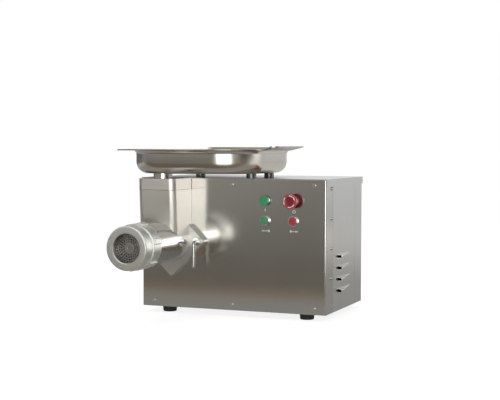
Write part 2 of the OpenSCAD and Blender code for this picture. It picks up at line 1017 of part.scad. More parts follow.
function tooth_radii(m, z) =
    let (pitch_r = m * z / 2)
    [pitch_r - 1.2 * m, pitch_r - 0.5 * m, pitch_r, pitch_r + 0.5 * m, pitch_r + m];

function polar(r, a) = r * [cos(a), sin(a)];

function gear_outline(m, z) = [
    for (i = [0:z - 1], side = [-1, 1], k = [0:4])
        let (r = tooth_radii(m, z)[side < 0 ? k : 4 - k])
        polar(r, 360 * i / z + side * half_tooth(m, z, r))
];

module gear(m, z, y, bore, turn) {
    plate_y(y[0], y[1])
        difference() {
            rotate(turn)
                polygon(gear_outline(m, z));
            circle(bore);
        }
}

module at_shaft(x) {
    translate([x, 0, axis_z])
        children();
}

module case_plan(inset, r) {
    round_rect(case_left + inset, axis_z - case_half + inset,
        case_right - inset, axis_z + case_half - inset, r);
}

module case_bolt_places() {
    margin = 9;
    for (x = [case_left + margin, case_right - margin], z = [margin - case_half, case_half - margin])
        translate([x, 0, axis_z + z])
            children();
}

case_bolt_r = 3;
case_bolt_head_r = 5;
case_bolt_head_h = 5;
case_bolt_l = 34;
case_bolt_sink = sheet_t + 6;
case_bolt_hole_end = 42;
hub_hole_step = 2;
pinion_pass_r = 30;

module gearbox_cover() {
    place("slategray")
        difference() {
            union() {
                plate_y(sheet_t, cover_back)
                    case_plan(0, 10);
                rod_y(output_boss_r, cover_back, output_bearing_y[0] + bearing_w, head_x, axis_z);
                rod_y(lay_boss_r, cover_back, lay_bearing_y[0] + lay_bearing_w, lay_x, axis_z);
            }
            rod_y(hub_hole_r - hub_hole_step, 0, cover_back, head_x, axis_z);
            rod_y(bearing_r, output_bearing_y[0], case_back, head_x, axis_z);
            rod_y(lay_bearing_r, lay_bearing_y[0], case_back, lay_x, axis_z);
            flange_bolt_places()
                rod_y(flange_bolt_r + hole_play, 0, case_back, 0, 0);
            case_bolt_places() {
                rod_y(case_bolt_r + hole_play, 0, case_back, 0, 0);
                rod_y(case_bolt_head_r + seat_gap, 0, case_bolt_sink, 0, 0);
            }
        }
}

module gearbox_housing() {
    place("slategray")
        difference() {
            union() {
                plate_y(cover_back, case_end)
                    case_plan(0, 10);
                rod_y(output_boss_r, case_end, case_end + 6, head_x, axis_z);
            }
            plate_y(cover_back - 1, case_back)
                case_plan(gearbox_wall, 24);
            rod_y(bearing_r, output_bearing_y[1], output_bearing_y[1] + bearing_w, head_x, axis_z);
            rod_y(hub_hole_r - hub_hole_step, case_back - 1, case_end, head_x, axis_z);
            rod_y(lay_bearing_r, case_back - 1, case_back + lay_bearing_w, lay_x, axis_z);
            rod_y(pinion_pass_r, case_back - 1, case_end + 1, motor_x, axis_z);
            case_bolt_places()
                rod_y(case_bolt_r + hole_play, 0, case_bolt_hole_end, 0, 0);
            motor_bolt_places()
                rod_y(motor_bolt_r + hole_play, case_back + 2, case_end + 1, 0, 0);
        }
}

module drive_bolts() {
    place("dimgray") {
        case_bolt_places()
            translate([0, case_bolt_sink, 0])
                rotate([-90, 0, 0])
                    screw(case_bolt_r, case_bolt_head_r, case_bolt_head_h, case_bolt_l);
        motor_bolt_places()
            translate([0, case_end + bell_flange_t, 0])
                rotate([90, 0, 0])
                    screw(motor_bolt_r, motor_bolt_head_r, motor_bolt_head_h,
                        bell_flange_t + motor_bolt_hold);
    }
}

module shaft_seal() {
    place([0.1, 0.1, 0.1])
        difference() {
            rod_y(hub_hole_r - hub_hole_step, sheet_t + 0.5, output_bearing_y[0], head_x, axis_z);
            rod_y(out_r + shaft_fit, 0, case_back, head_x, axis_z);
        }
}

module ring_at(x, y0, w, outer, inner) {
    difference() {
        rod_y(outer, y0, y0 + w, x, axis_z);
        rod_y(inner + shaft_fit, y0 - 1, y0 + w + 1, x, axis_z);
    }
}

module output_bearings() {
    place("gainsboro")
        for (y = output_bearing_y)
            ring_at(head_x, y, bearing_w, bearing_r, out_r);
}

module layshaft_bearings() {
    place("gainsboro")
        for (y = lay_bearing_y)
            ring_at(lay_x, y, lay_bearing_w, lay_bearing_r, lay_r);
}

module output_shaft() {
    socket = tang_w / 2 + 0.2;
    place("gainsboro")
        at_shaft(head_x)
            difference() {
                rod_y(out_r, output_front, output_bearing_y[1] + bearing_w - shaft_end_play, 0, 0);
                block([-socket, 0, -socket], [socket, output_front + socket_l, socket]);
            }
}

module output_gear() {
    place("goldenrod")
        at_shaft(head_x)
            gear(slow_m, output_teeth, output_gear_y, out_r, 0);
}

module layshaft() {
    place("gainsboro")
        at_shaft(lay_x) {
            rod_y(lay_r, lay_bearing_y[0] + shaft_end_play,
                case_back + lay_bearing_w - shaft_end_play, 0, 0);
            gear(slow_m, slow_teeth, slow_pinion_y, lay_r - 1, 180 / slow_teeth);
        }
}

module layshaft_gear() {
    place("goldenrod")
        at_shaft(lay_x)
            gear(fast_m, lay_teeth, lay_gear_y, lay_r, 0);
}

// ---- Motor ----

motor_pilot_r = motor_r - 15;
motor_bolt_r = 4;
motor_bolt_head_r = 6.5;
motor_bolt_head_h = 6;
motor_bolt_hold = 12;
motor_bolt_inset = 6;
bell_rim = 3;
bell_shaft_play = 2;
bell_flange_t = 8;
bell_t = 12;
casing_wall = 4;
bell_spigot = 6;
motor_bearing_r = 23.5;
motor_bearing_w = 14;
casing_y = [case_end + bell_flange_t + bell_t, case_end + bell_flange_t + bell_t + motor_l];
front_motor_bearing = case_end + 6;
rear_motor_bearing = casing_y[1] - bell_spigot;
fan_gap = 4;
fan_w = 16;
cowl_t = 1.5;
fan_y = [casing_y[1] + bell_t + fan_gap, casing_y[1] + bell_t + fan_gap + fan_w];
cowl_end = fan_y[1] + fan_gap + cowl_t;

module motor_bolt_places() {
    for (a = [45:90:315])
        translate([motor_x, 0, axis_z] + (motor_r - motor_bolt_inset) * [cos(a), 0, sin(a)])
            children();
}

module motor_front_bell() {
    bell_end = casing_y[0] + bell_spigot + 1;
    place("darkslategray")
        difference() {
            union() {
                rod_y(motor_r + bell_rim, case_end, case_end + bell_flange_t, motor_x, axis_z);
                rod_y(motor_pilot_r, case_end + bell_flange_t, casing_y[0], motor_x, axis_z);
                rod_y(motor_r, casing_y[0] - bell_rim, casing_y[0], motor_x, axis_z);
                rod_y(motor_r - casing_wall, casing_y[0], casing_y[0] + bell_spigot, motor_x, axis_z);
            }
            rod_y(motor_shaft_r + bell_shaft_play, case_back, bell_end, motor_x, axis_z);
            rod_y(motor_bearing_r, front_motor_bearing, bell_end, motor_x, axis_z);
            motor_bolt_places()
                rod_y(motor_bolt_r + hole_play, case_back, case_end + bell_flange_t + 1, 0, 0);
        }
}

module motor_rear_bell() {
    place("darkslategray")
        difference() {
            union() {
                rod_y(motor_r - casing_wall, rear_motor_bearing, casing_y[1], motor_x, axis_z);
                rod_y(motor_r, casing_y[1], casing_y[1] + bell_t / 2, motor_x, axis_z);
                rod_y(motor_r - 2, casing_y[1] + bell_t / 2, casing_y[1] + bell_t, motor_x, axis_z);
            }
            rod_y(motor_bearing_r, rear_motor_bearing - 1, rear_motor_bearing + motor_bearing_w,
                motor_x, axis_z);
            rod_y(motor_shaft_r + bell_shaft_play, rear_motor_bearing, casing_y[1] + bell_t + 1,
                motor_x, axis_z);
        }
}

module motor_casing() {
    place("darkslategray")
        ring_at(motor_x, casing_y[0], motor_l, motor_r, motor_r - casing_wall - shaft_fit);
}

module motor_bearings() {
    place("gainsboro")
        for (y = [front_motor_bearing, rear_motor_bearing])
            ring_at(motor_x, y, motor_bearing_w, motor_bearing_r, motor_shaft_r);
}

winding_front = 18;
winding_rear = 22;
core_y = [casing_y[0] + winding_front, casing_y[1] - winding_rear];
rotor_r = motor_r - 33;
air_gap = 0.6;

module motor_stator() {
    place("sienna")
        ring_at(motor_x, core_y[0], core_y[1] - core_y[0], motor_r - casing_wall,
            rotor_r + air_gap);
}

module motor_rotor() {
    place("gray")
        ring_at(motor_x, core_y[0] - 2, core_y[1] - core_y[0] + 4, rotor_r, motor_shaft_r - shaft_fit);
}

module motor_shaft() {
    place("gainsboro")
        rod_y(motor_shaft_r, fast_pinion_y[0], fan_y[1] + 2, motor_x, axis_z);
}

module motor_pinion() {
    place("gainsboro")
        at_shaft(motor_x)
            gear(fast_m, fast_teeth, fast_pinion_y, motor_shaft_r, 0);
}

module cooling_fan() {
    blades = 8;
    fan_r = motor_r - 12;
    hub_r = motor_shaft_r + 7;
    blade_t = 2;
    place([0.2, 0.2, 0.22])
        at_shaft(motor_x)
            difference() {
                union() {
                    rod_y(hub_r, fan_y[0], fan_y[1], 0, 0);
                    rod_y(fan_r, fan_y[0], fan_y[0] + blade_t, 0, 0);
                    plate_y(fan_y[0], fan_y[1])
                        for (i = [0:blades - 1])
                            rotate(360 * i / blades)
                                translate([motor_shaft_r + 4, -blade_t / 2])
                                    square([fan_r - motor_shaft_r - 4, blade_t]);
                }
                rod_y(motor_shaft_r, 0, box_d, 0, 0);
            }
}

module fan_cowl() {
    slot_r = 4;
    place([0.15, 0.15, 0.16])
        difference() {
            rod_y(motor_r, casing_y[1] + bell_t / 2, cowl_end, motor_x, axis_z);
            rod_y(motor_r - 2, 0, cowl_end - cowl_t, motor_x, axis_z);
            for (share = [0.27, 0.45, 0.64], a = [0:30:330])
                translate([motor_x, 0, axis_z] + share * motor_r * [cos(a), 0, sin(a)])
                    rod_y(slot_r, cowl_end - 2 * cowl_t, cowl_end + 1, 0, 0);
        }
}

stand_t = 5;
stand_inset = 16;
cradle_inset = 24;
pan_top = foot_h + sheet_t;

module drive_stand() {
    y = [cover_back + 6, case_back];
    x = [case_left + stand_inset, case_right - stand_inset];
    top = axis_z - case_half;
    place("dimgray")
        difference() {
            block([x[0], y[0], pan_top], [x[1], y[1], top]);
            block([x[0] + stand_t, 0, pan_top + stand_t], [x[1] - stand_t, box_d, top - stand_t]);
            foot_places()
                cylinder(r = foot_bolt_r + hole_play, h = pan_top + 2 * stand_t);
        }
}

module motor_cradle() {
    y = [casing_y[0] + cradle_inset, casing_y[1] - cradle_inset];
    half = motor_r * 0.72;
    place("dimgray")
        difference() {
            block([motor_x - half, y[0], pan_top], [motor_x + half, y[1], axis_z - motor_r * 0.7]);
            block([motor_x - half - 1, y[0] + stand_t, pan_top + stand_t],
                [motor_x + half + 1, y[1] - stand_t, axis_z]);
            rod_y(motor_r, 0, box_d, motor_x, axis_z);
        }
}

// ---- Controls ----

stem_r = 9;
body_r = 11;
body_back = 20;
stem_back = body_back + 6;
start_collar = 2;
start_cap_t = 7;
contact_w = 30;
contact_h = 38;
contact_l = 42;
contact_bore = 14;
estop_collar = 3;
direction_collar = 7;
direction_cap_t = 2.5;
direction_cap_back = -direction_collar + 0.5;
end_play = 0.5;

module at_button(i) {
    translate([buttons[i][0], 0, buttons[i][1]])
        children();
}

module bezel(front_l, outer, mouth) {
    difference() {
        union() {
            rod_y(outer, -front_l, 0, 0, 0);
            rod_y(body_r, 0, body_back, 0, 0);
        }
        rod_y(stem_r + seat_gap, -front_l - 1, body_back + 1, 0, 0);
        rod_y(mouth, -front_l - 1, direction_cap_back + button_travel + end_play, 0, 0);
    }
}

module start_bezel() {
    place("gainsboro")
        at_button(0)
            bezel(start_collar, start_d / 2 - 1, stem_r + seat_gap);
}

module start_button() {
    back = -start_collar - button_travel - gap;
    place([0.1, 0.55, 0.3])
        at_button(0) {
            rod_y(start_d / 2, back - start_cap_t, back, 0, 0);
            rod_y(stem_r, back, stem_back, 0, 0);
        }
}

module estop_bezel() {
    place([0.15, 0.15, 0.15])
        at_button(1)
            bezel(estop_collar, bezel_d / 2, stem_r + seat_gap);
}

estop_cap_l = 13;
estop_chamfer = 3;
estop_cap_web = 3;
estop_pin_front = 5;
estop_pin_r = 6;

estop_seat = estop_cap_l - estop_cap_web - estop_out;

module estop_stem() {
    place([0.15, 0.15, 0.15])
        at_button(1) {
            rod_y(stem_r, estop_seat, stem_back, 0, 0);
            rod_y(estop_pin_r, estop_pin_front - estop_out, estop_seat, 0, 0);
        }
}

module estop_head() {
    neck_r = body_r + 2;
    place([0.8, 0.1, 0.15])
        at_button(1)
            difference() {
                union() {
                    rod_y(estop_d / 2, estop_chamfer - estop_out, estop_cap_l - estop_out, 0, 0);
                    translate([0, -estop_out, 0])
                        rotate([-90, 0, 0])
                            cylinder(h = estop_chamfer,
                                r1 = estop_d / 2 - estop_chamfer - 1, r2 = estop_d / 2);
                    rod_y(neck_r, estop_cap_l - estop_out, -estop_collar - estop_travel - gap, 0, 0);
                }
                rod_y(stem_r + seat_gap, estop_seat - seat_gap, 0, 0, 0);
                rod_y(estop_pin_r + shaft_fit, estop_pin_front - estop_out - seat_gap, 0, 0, 0);
            }
}

module direction_button(c, i) {
    place(c)
        at_button(i) {
            rod_y(direction_d / 2, direction_cap_back - direction_cap_t, direction_cap_back, 0, 0);
            rod_y(stem_r, direction_cap_back, stem_back, 0, 0);
        }
}

module forward_button() {
    direction_button([0.1, 0.5, 0.28], 2);
}

module reverse_button() {
    direction_button([0.75, 0.1, 0.15], 3);
}

module direction_bezels() {
    place("gainsboro")
        for (i = [2, 3])
            at_button(i)
                bezel(direction_collar, bezel_d / 2, direction_d / 2 + gap);
}

module contact_blocks() {
    place([0.75, 0.72, 0.65])
        for (i = [0:3])
            at_button(i)
                difference() {
                    block([-contact_w / 2, body_back, -contact_h / 2],
                        [contact_w / 2, body_back + contact_l, contact_h / 2]);
                    rod_y(stem_r + gap, body_back - 1, body_back + contact_bore, 0, 0);
                }
}

base_pan();
inner_frame();
front_panel();
rear_panel();
left_panel();
right_panel();
top_cover();
front_panel_screws();
rear_panel_screws();
side_panel_screws();
rubber_feet();
foot_bolts();
cable_gland();
gland_nut();
head_flange();
flange_bolts();
clamp_shoe();
clamp_handle();
grinder_body();
throat_shroud();
throat_collar();
head_bushing();
locating_pin();
auger();
knife();
perforated_plate();
ring_nut();
feed_tray();
tray_posts();
gearbox_cover();
gearbox_housing();
drive_bolts();
drive_stand();
shaft_seal();
output_shaft();
output_gear();
output_bearings();
layshaft();
layshaft_gear();
layshaft_bearings();
motor_pinion();
motor_shaft();
motor_rotor();
motor_stator();
motor_casing();
motor_front_bell();
motor_rear_bell();
motor_bearings();
cooling_fan();
fan_cowl();
motor_cradle();
start_button();
start_bezel();
estop_stem();
estop_head();
estop_bezel();
forward_button();
reverse_button();
direction_bezels();
contact_blocks();
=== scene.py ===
from math import cos, pi, radians, sin

import bpy
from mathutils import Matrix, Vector


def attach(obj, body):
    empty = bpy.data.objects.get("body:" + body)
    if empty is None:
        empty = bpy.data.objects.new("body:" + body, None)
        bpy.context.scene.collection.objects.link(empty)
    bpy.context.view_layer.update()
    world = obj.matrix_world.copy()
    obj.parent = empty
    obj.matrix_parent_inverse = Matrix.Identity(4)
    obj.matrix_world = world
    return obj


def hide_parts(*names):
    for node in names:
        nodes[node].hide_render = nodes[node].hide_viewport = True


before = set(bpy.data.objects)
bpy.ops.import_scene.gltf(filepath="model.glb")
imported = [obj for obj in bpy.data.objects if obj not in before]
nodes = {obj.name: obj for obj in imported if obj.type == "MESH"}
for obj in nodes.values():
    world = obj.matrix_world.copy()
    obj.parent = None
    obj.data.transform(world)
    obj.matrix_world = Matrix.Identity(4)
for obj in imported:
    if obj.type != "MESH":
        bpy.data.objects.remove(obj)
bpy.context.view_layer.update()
print("stage: the packed frame is loaded")

mm = 0.001
midX = 260.5  # where the machine's own corner lies from the middle of its floor area
midY = 36.5


# machine millimetres to a place in the frame
def spot(x, y, z):
    return Vector(((x - midX) * mm, (y - midY) * mm, z * mm))


# camera and studio

view = dict(x=1508, y=-2933, z=478, yaw=21.87, down=2.74, roll=-0.11, lens=82.6)

camData = bpy.data.cameras.new("studioCamera")
camera = bpy.data.objects.new("studioCamera", camData)
bpy.context.scene.collection.objects.link(camera)
camera.location = spot(view["x"], view["y"], view["z"])
camera.rotation_euler = (radians(90 - view["down"]), radians(view["roll"]), radians(view["yaw"]))
camData.lens = view["lens"]
camData.sensor_width = 36
camData.sensor_fit = "HORIZONTAL"
camData.clip_end = 50
bpy.context.scene.camera = camera
bpy.context.scene.view_settings.view_transform = "Standard"


def addNode(tree, kind, inputs=None, **settings):
    node = tree.nodes.new("ShaderNode" + kind)
    for key, value in settings.items():
        setattr(node, key, value)
    for key, value in (inputs or {}).items():
        if isinstance(value, bpy.types.NodeSocket):
            tree.links.new(value, node.inputs[key])
        else:
            node.inputs[key].default_value = value
    return node


def maths(tree, operation, a, b=0.0, clamp=False):
    return addNode(tree, "Math", {0: a, 1: b}, operation=operation, use_clamp=clamp).outputs[0]


# a colour ramp; stops are (place, grey or colour)
def ramp(tree, value, stops, smooth=False):
    node = addNode(tree, "ValToRGB", {0: value})
    node.color_ramp.interpolation = "EASE" if smooth else "LINEAR"
    points = node.color_ramp.elements
    for i, (place, colour) in enumerate(stops):
        point = points[i] if i < 2 else points.new(place)
        point.position = place
        c = colour if isinstance(colour, tuple) else (colour,) * 3
        point.color = (*c, 1)
    return node.outputs["Color"]


def blendColour(tree, amount, a, b, mode="MIX"):
    node = addNode(tree, "Mix", data_type="RGBA", blend_type=mode)
    for key, value in ((0, amount), (6, a), (7, b)):
        if isinstance(value, bpy.types.NodeSocket):
            tree.links.new(value, node.inputs[key])
        elif key == 0:
            node.inputs[0].default_value = value
        else:
            node.inputs[key].default_value = (*value, 1)
    return node.outputs[2]


# 1 for camera, glossy and transmission rays
def seenWhite(tree):
    path = addNode(tree, "LightPath")
    a = maths(tree, "MAXIMUM", path.outputs["Is Camera Ray"], path.outputs["Is Glossy Ray"])
    return maths(tree, "MAXIMUM", a, path.outputs["Is Transmission Ray"])


def multiplied(tree, a, b):
    return blendColour(tree, 1.0, a, b, "MULTIPLY")


# a value that goes round the upright axis: 0.25 in front, 0.5 on the right, 0.75 behind
def turnAround(tree, place):
    return addNode(tree, "TexGradient", {0: place}, gradient_type="RADIAL").outputs["Fac"]


studio = dict(
    worldLight=0.72,
    worldTint=(1, 0.99, 0.97),
    floorGlow=0.84,
    floorColour=0.25,
    floorBounce=(0.8, 0.8, 0.79),
    floorSize=16,
    floorDrop=0.4,
    roomRadius=3.9,
    roomHeight=5.4,
    roomLow=0.3,
    aheadScale=0.5,
    awayScale=0.25,
    heightScale=0.2,
    # brightness of the painted lane and the painted window that reflections see
    laneGlow=(4.4, 4.35, 4.2),
    paintedWindowGlow=(4.3, 4.25, 4.15),
)

# painted reflections, which only reflections see: stops are (place, grey or colour)
reflections = dict(
    # painted reflection of a table top, by distance ahead
    paintedTable=[
        (0.0, (0.34, 0.335, 0.32)), (0.20, (0.33, 0.325, 0.305)), (0.212, (0.33, 0.24, 0.17)),
        (0.27, (0.30, 0.23, 0.17)), (0.30, (0.165, 0.15, 0.125)), (0.8, (0.18, 0.17, 0.15)),
        (1.0, (0.22, 0.21, 0.19))],
    # a painted bright lane on the floor toward the camera
    lane=[
        (0.0, 0.05), (0.06, 0.0), (0.25, 0.0), (0.28, 1.0), (0.345, 1.0), (0.37, 0.03), (0.48, 0.02),
        (0.51, 0.2), (0.60, 0.08), (0.80, 0.08), (0.86, 0.03), (1.0, 0.05)],
    laneAway=[(0.30, 0.0), (0.50, 0.55), (0.66, 1.0)],
    # painted reflections of walls around, dark or bright by direction and brighter higher up
    walls=[
        (0.0, 0.22), (0.07, 0.24), (0.165, (0.29, 0.285, 0.265)), (0.19, (0.26, 0.25, 0.23)),
        (0.22, (0.20, 0.19, 0.175)), (0.25, 0.19), (0.275, 0.5), (0.345, 0.5), (0.365, 0.34), (0.41, 0.28),
        (0.43, 0.04), (0.515, 0.04), (0.54, 0.95), (0.58, 0.95), (0.61, 0.51), (0.80, 0.51), (0.84, 0.14),
        (0.93, 0.12)],
    wallsRise=[(0.0, 1.0), (0.05, 1.35), (0.12, 1.45), (0.25, 1.65), (0.45, 2.2), (1.0, 2.7)],
    # a painted bright window by the camera
    paintedWindow=[(0.25, 0.0), (0.28, 1.0), (0.335, 1.0), (0.36, 0.0)],
    paintedWindowRise=[(0.0, 1.0), (0.15, 1.0), (0.24, 0.0)],
)

world = bpy.data.worlds.new("softRoom")
bpy.context.scene.world = world
world.use_nodes = True
tree = world.node_tree
tree.nodes.clear()
white = addNode(tree, "Background", {"Color": (1, 1, 1, 1), "Strength": 1})
soft = addNode(tree, "Background", {"Color": (*studio["worldTint"], 1), "Strength": studio["worldLight"]})
both = addNode(tree, "MixShader", {0: seenWhite(tree), 1: soft.outputs[0], 2: white.outputs[0]})
addNode(tree, "OutputWorld", {0: both.outputs[0]})


def stageMaterial(name):
    material = bpy.data.materials.new(name)
    material.use_nodes = True
    material.node_tree.nodes.clear()
    return material, material.node_tree


def deselectAll():
    if bpy.context.mode != "OBJECT":
        bpy.ops.object.mode_set(mode="OBJECT")
    bpy.ops.object.select_all(action="DESELECT")


# painted reflection on the floor, seen only by glossy rays: a table top's bands by distance ahead, and a
# painted bright lane toward the camera
def paintedFloorReflection(tree, place):
    forward = addNode(tree, "SeparateXYZ", {0: place}).outputs["Y"]
    ahead = maths(tree, "MULTIPLY", maths(tree, "ADD", forward, midY * mm), -studio["aheadScale"])
    paintedTable = ramp(tree, ahead, reflections["paintedTable"])
    lane = ramp(tree, turnAround(tree, place), reflections["lane"], smooth=True)
    length = addNode(tree, "VectorMath", {0: place}, operation="LENGTH").outputs["Value"]
    farther = ramp(tree, maths(tree, "MULTIPLY", length, studio["awayScale"]), reflections["laneAway"])
    lane = multiplied(tree, multiplied(tree, lane, farther), studio["laneGlow"])
    return blendColour(tree, 1.0, paintedTable, lane, "ADD")


# the screen shows painted reflections: dim on the left, a painted window by the camera, black then bright on
# the right;
# it gets brighter higher up
def paintedScreenReflection(tree, place):
    around = turnAround(tree, place)
    up = addNode(tree, "SeparateXYZ", {0: place}).outputs["Z"]
    height = maths(tree, "MULTIPLY", up, studio["heightScale"])
    walls = ramp(tree, around, reflections["walls"])
    rise = ramp(tree, height, reflections["wallsRise"])
    paintedWindow = ramp(tree, around, reflections["paintedWindow"], smooth=True)
    paintedWindowRise = ramp(tree, height, reflections["paintedWindowRise"], smooth=True)
    extra = multiplied(tree, multiplied(tree, paintedWindow, paintedWindowRise), studio["paintedWindowGlow"])
    return blendColour(tree, 1.0, multiplied(tree, walls, rise), extra, "ADD")


deselectAll()
bpy.ops.mesh.primitive_plane_add(size=studio["floorSize"], location=(0, 0, -studio["floorDrop"] * mm))
floor = bpy.context.object
floor.name = "studioFloor"
paint, tree = stageMaterial("paleFloor")
floor.data.materials.append(paint)
path = addNode(tree, "LightPath")
onCamera, onGlossy = path.outputs["Is Camera Ray"], path.outputs["Is Glossy Ray"]
pale = addNode(tree, "BsdfDiffuse", {"Color": (studio["floorColour"],) * 3 + (1,)})
glow = addNode(tree, "Emission", {"Color": (1, 1, 1, 1), "Strength": studio["floorGlow"]})
bright = addNode(tree, "AddShader", {0: pale.outputs[0], 1: glow.outputs[0]})
plain = addNode(tree, "BsdfDiffuse", {"Color": (*studio["floorBounce"], 1)})
seen = addNode(tree, "MixShader", {0: onCamera, 1: plain.outputs[0], 2: bright.outputs[0]})
# glossy rays see this painted reflection instead of the pale floor
shown = paintedFloorReflection(tree, addNode(tree, "TexCoord").outputs["Object"])
mirrored = addNode(tree, "Emission", {"Color": shown, "Strength": 1})
whole = addNode(tree, "MixShader", {0: onGlossy, 1: seen.outputs[0], 2: mirrored.outputs[0]})
addNode(tree, "OutputMaterial", {0: whole.outputs[0]})

# a round glowing screen that only reflections see, painting their reflections
deselectAll()
bpy.ops.mesh.primitive_cylinder_add(
    vertices=96, radius=studio["roomRadius"], depth=studio["roomHeight"],
    end_fill_type="NOTHING", location=(0, 0, studio["roomHeight"] / 2 - studio["roomLow"]))
room = bpy.context.object
room.name = "studioScreen"
bpy.ops.object.transform_apply(location=True, rotation=True, scale=True)
paint, tree = stageMaterial("screenLight")
room.data.materials.append(paint)
# the screen's glow is the painted reflection
shown = paintedScreenReflection(tree, addNode(tree, "TexCoord").outputs["Object"])
lit = addNode(tree, "Emission", {"Color": shown, "Strength": 1})
addNode(tree, "OutputMaterial", {0: lit.outputs[0]})
for rays in ("camera", "diffuse", "transmission", "shadow", "volume_scatter"):
    setattr(room, "visible_" + rays, False)


def softBox(name, place, aim, size, power):
    data = bpy.data.lights.new(name, "AREA")
    data.size = size
    data.energy = power
    lamp = bpy.data.objects.new(name, data)
    bpy.context.scene.collection.objects.link(lamp)
    lamp.location = place
    lamp.rotation_euler = (Vector(aim) - Vector(place)).to_track_quat("-Z", "Y").to_euler()
    lamp.visible_camera = False
    lamp.visible_glossy = False


softBox("overheadBox", (-0.6, -0.9, 2.6), (0, 0, 0.2), 1.8, 26)
softBox("sideBox", (2.2, -2.0, 1.5), (0, 0, 0.2), 1.0, 14)
print("stage: camera, floor and lights are set")

# finishes: roughness from and to, grain per metre, bump in micrometres, cloud and stretch as shares

micron = 0.000001


def metal(colour, rough, grain, bump, cloud, stretch=0.0):
    return dict(colour=colour, rough=rough, grain=grain, bump=bump * micron, cloud=cloud, stretch=stretch)


def shell(colour, rough, bump, size, coat=0.0, dish=None):
    return dict(colour=colour, rough=rough, bump=bump * micron, size=size, coat=coat, dish=dish)


steels = dict(
    mirror_steel=metal((0.60, 0.59, 0.56), (0.12, 0.18), (5, 5, 700), 10, 0.06),
    panel_steel=metal((0.65, 0.65, 0.635), (0.26, 0.33), (6, 400, 6), 6, 0.04),
    head_steel=metal((0.58, 0.575, 0.55), (0.11, 0.18), (40, 40, 600), 10, 0.08),
    column_steel=metal((0.72, 0.705, 0.66), (0.32, 0.40), (8, 8, 500), 4, 0.05, stretch=0.85),
    collar_steel=metal((0.62, 0.59, 0.555), (0.30, 0.38), (8, 8, 500), 4, 0.05, stretch=0.85),
    nut_steel=metal((0.84, 0.85, 0.815), (0.40, 0.50), (420, 60, 420), 20, 0.06),
    # this dark finish paints shade inside bores
    bore_steel=metal((0.30, 0.30, 0.28), (0.35, 0.5), (300, 60, 300), 20, 0.08),
    plate_steel=metal((0.50, 0.49, 0.465), (0.30, 0.42), (90, 300, 500), 20, 0.08),
    flange_steel=metal((0.67, 0.665, 0.64), (0.36, 0.46), (60, 60, 500), 20, 0.06),
    tray_steel=metal((0.63, 0.60, 0.55), (0.16, 0.24), (30, 30, 300), 20, 0.08),
    wing_steel=metal((0.50, 0.495, 0.465), (0.30, 0.40), (30, 30, 300), 20, 0.06),
    screw_steel=metal((0.66, 0.66, 0.64), (0.15, 0.25), (300, 300, 300), 10, 0.05),
    dark_steel=metal((0.20, 0.20, 0.19), (0.30, 0.45), (200, 200, 200), 30, 0.12),
    bearing_steel=metal((0.60, 0.60, 0.59), (0.14, 0.24), (90, 500, 90), 10, 0.05),
    gear_bronze=metal((0.50, 0.33, 0.15), (0.24, 0.38), (200, 200, 200), 30, 0.12),
    stator_steel=metal((0.26, 0.20, 0.17), (0.35, 0.50), (30, 900, 30), 60, 0.10),
)

# dish is a darker middle: the x and z of its axis and its radius
shells = dict(
    grey_cast=shell((0.20, 0.21, 0.22), (0.45, 0.62), 150, 240),
    rubber_black=shell((0.012, 0.012, 0.012), (0.55, 0.75), 80, 400),
    black_plastic=shell((0.018, 0.018, 0.02), (0.30, 0.42), 40, 700),
    cream_plastic=shell((0.62, 0.58, 0.48), (0.35, 0.50), 40, 500),
    green_plastic=shell((0.030, 0.31, 0.13), (0.22, 0.34), 30, 600, coat=0.3),
    red_plastic=shell((0.42, 0.016, 0.03), (0.22, 0.34), 30, 600, coat=0.3),
    stop_red=shell((0.42, 0.016, 0.03), (0.30, 0.42), 30, 600, coat=0.2, dish=(458, 326, 13)),
    white_ink=shell((0.80, 0.80, 0.78), (0.45, 0.60), 20, 900),
)

wear = dict(grainShare=0.6, cloudShare=0.4, cloudSize=7.0, scratchSize=0.35, scratchFrom=0.62, scratchTo=0.75,
            scratchShine=0.22, shine=0.6, patchSize=28.0, dust=0.02, dustCover=0.9, coatRough=0.1,
            dishTone=0.4, dishIn=1.5, dishOut=0.5)


def noise(tree, place, scale, detail, rough=0.5):
    settings = {"Vector": place, "Scale": scale, "Detail": detail, "Roughness": rough}
    return addNode(tree, "TexNoise", settings).outputs["Fac"]


def mapped(tree, place, scale, shift=(0, 0, 0)):
    return addNode(tree, "Mapping", {0: place, "Scale": scale, "Location": shift}).outputs[0]


def ranged(tree, value, start, end, low=0.0, high=1.0):
    settings = {"Value": value, "From Min": start, "From Max": end, "To Min": low, "To Max": high}
    return addNode(tree, "MapRange", settings).outputs[0]


# the surface shader, whose colour, roughness and bump height come from other nodes
def skinned(tree, colour, rough, height, depth):
    bump = addNode(tree, "Bump", {"Height": height, "Distance": depth, "Strength": 1.0}).outputs[0]
    skin = addNode(tree, "BsdfPrincipled", {"Base Color": colour, "Roughness": rough, "Normal": bump})
    addNode(tree, "OutputMaterial", {0: skin.outputs[0]})
    return skin


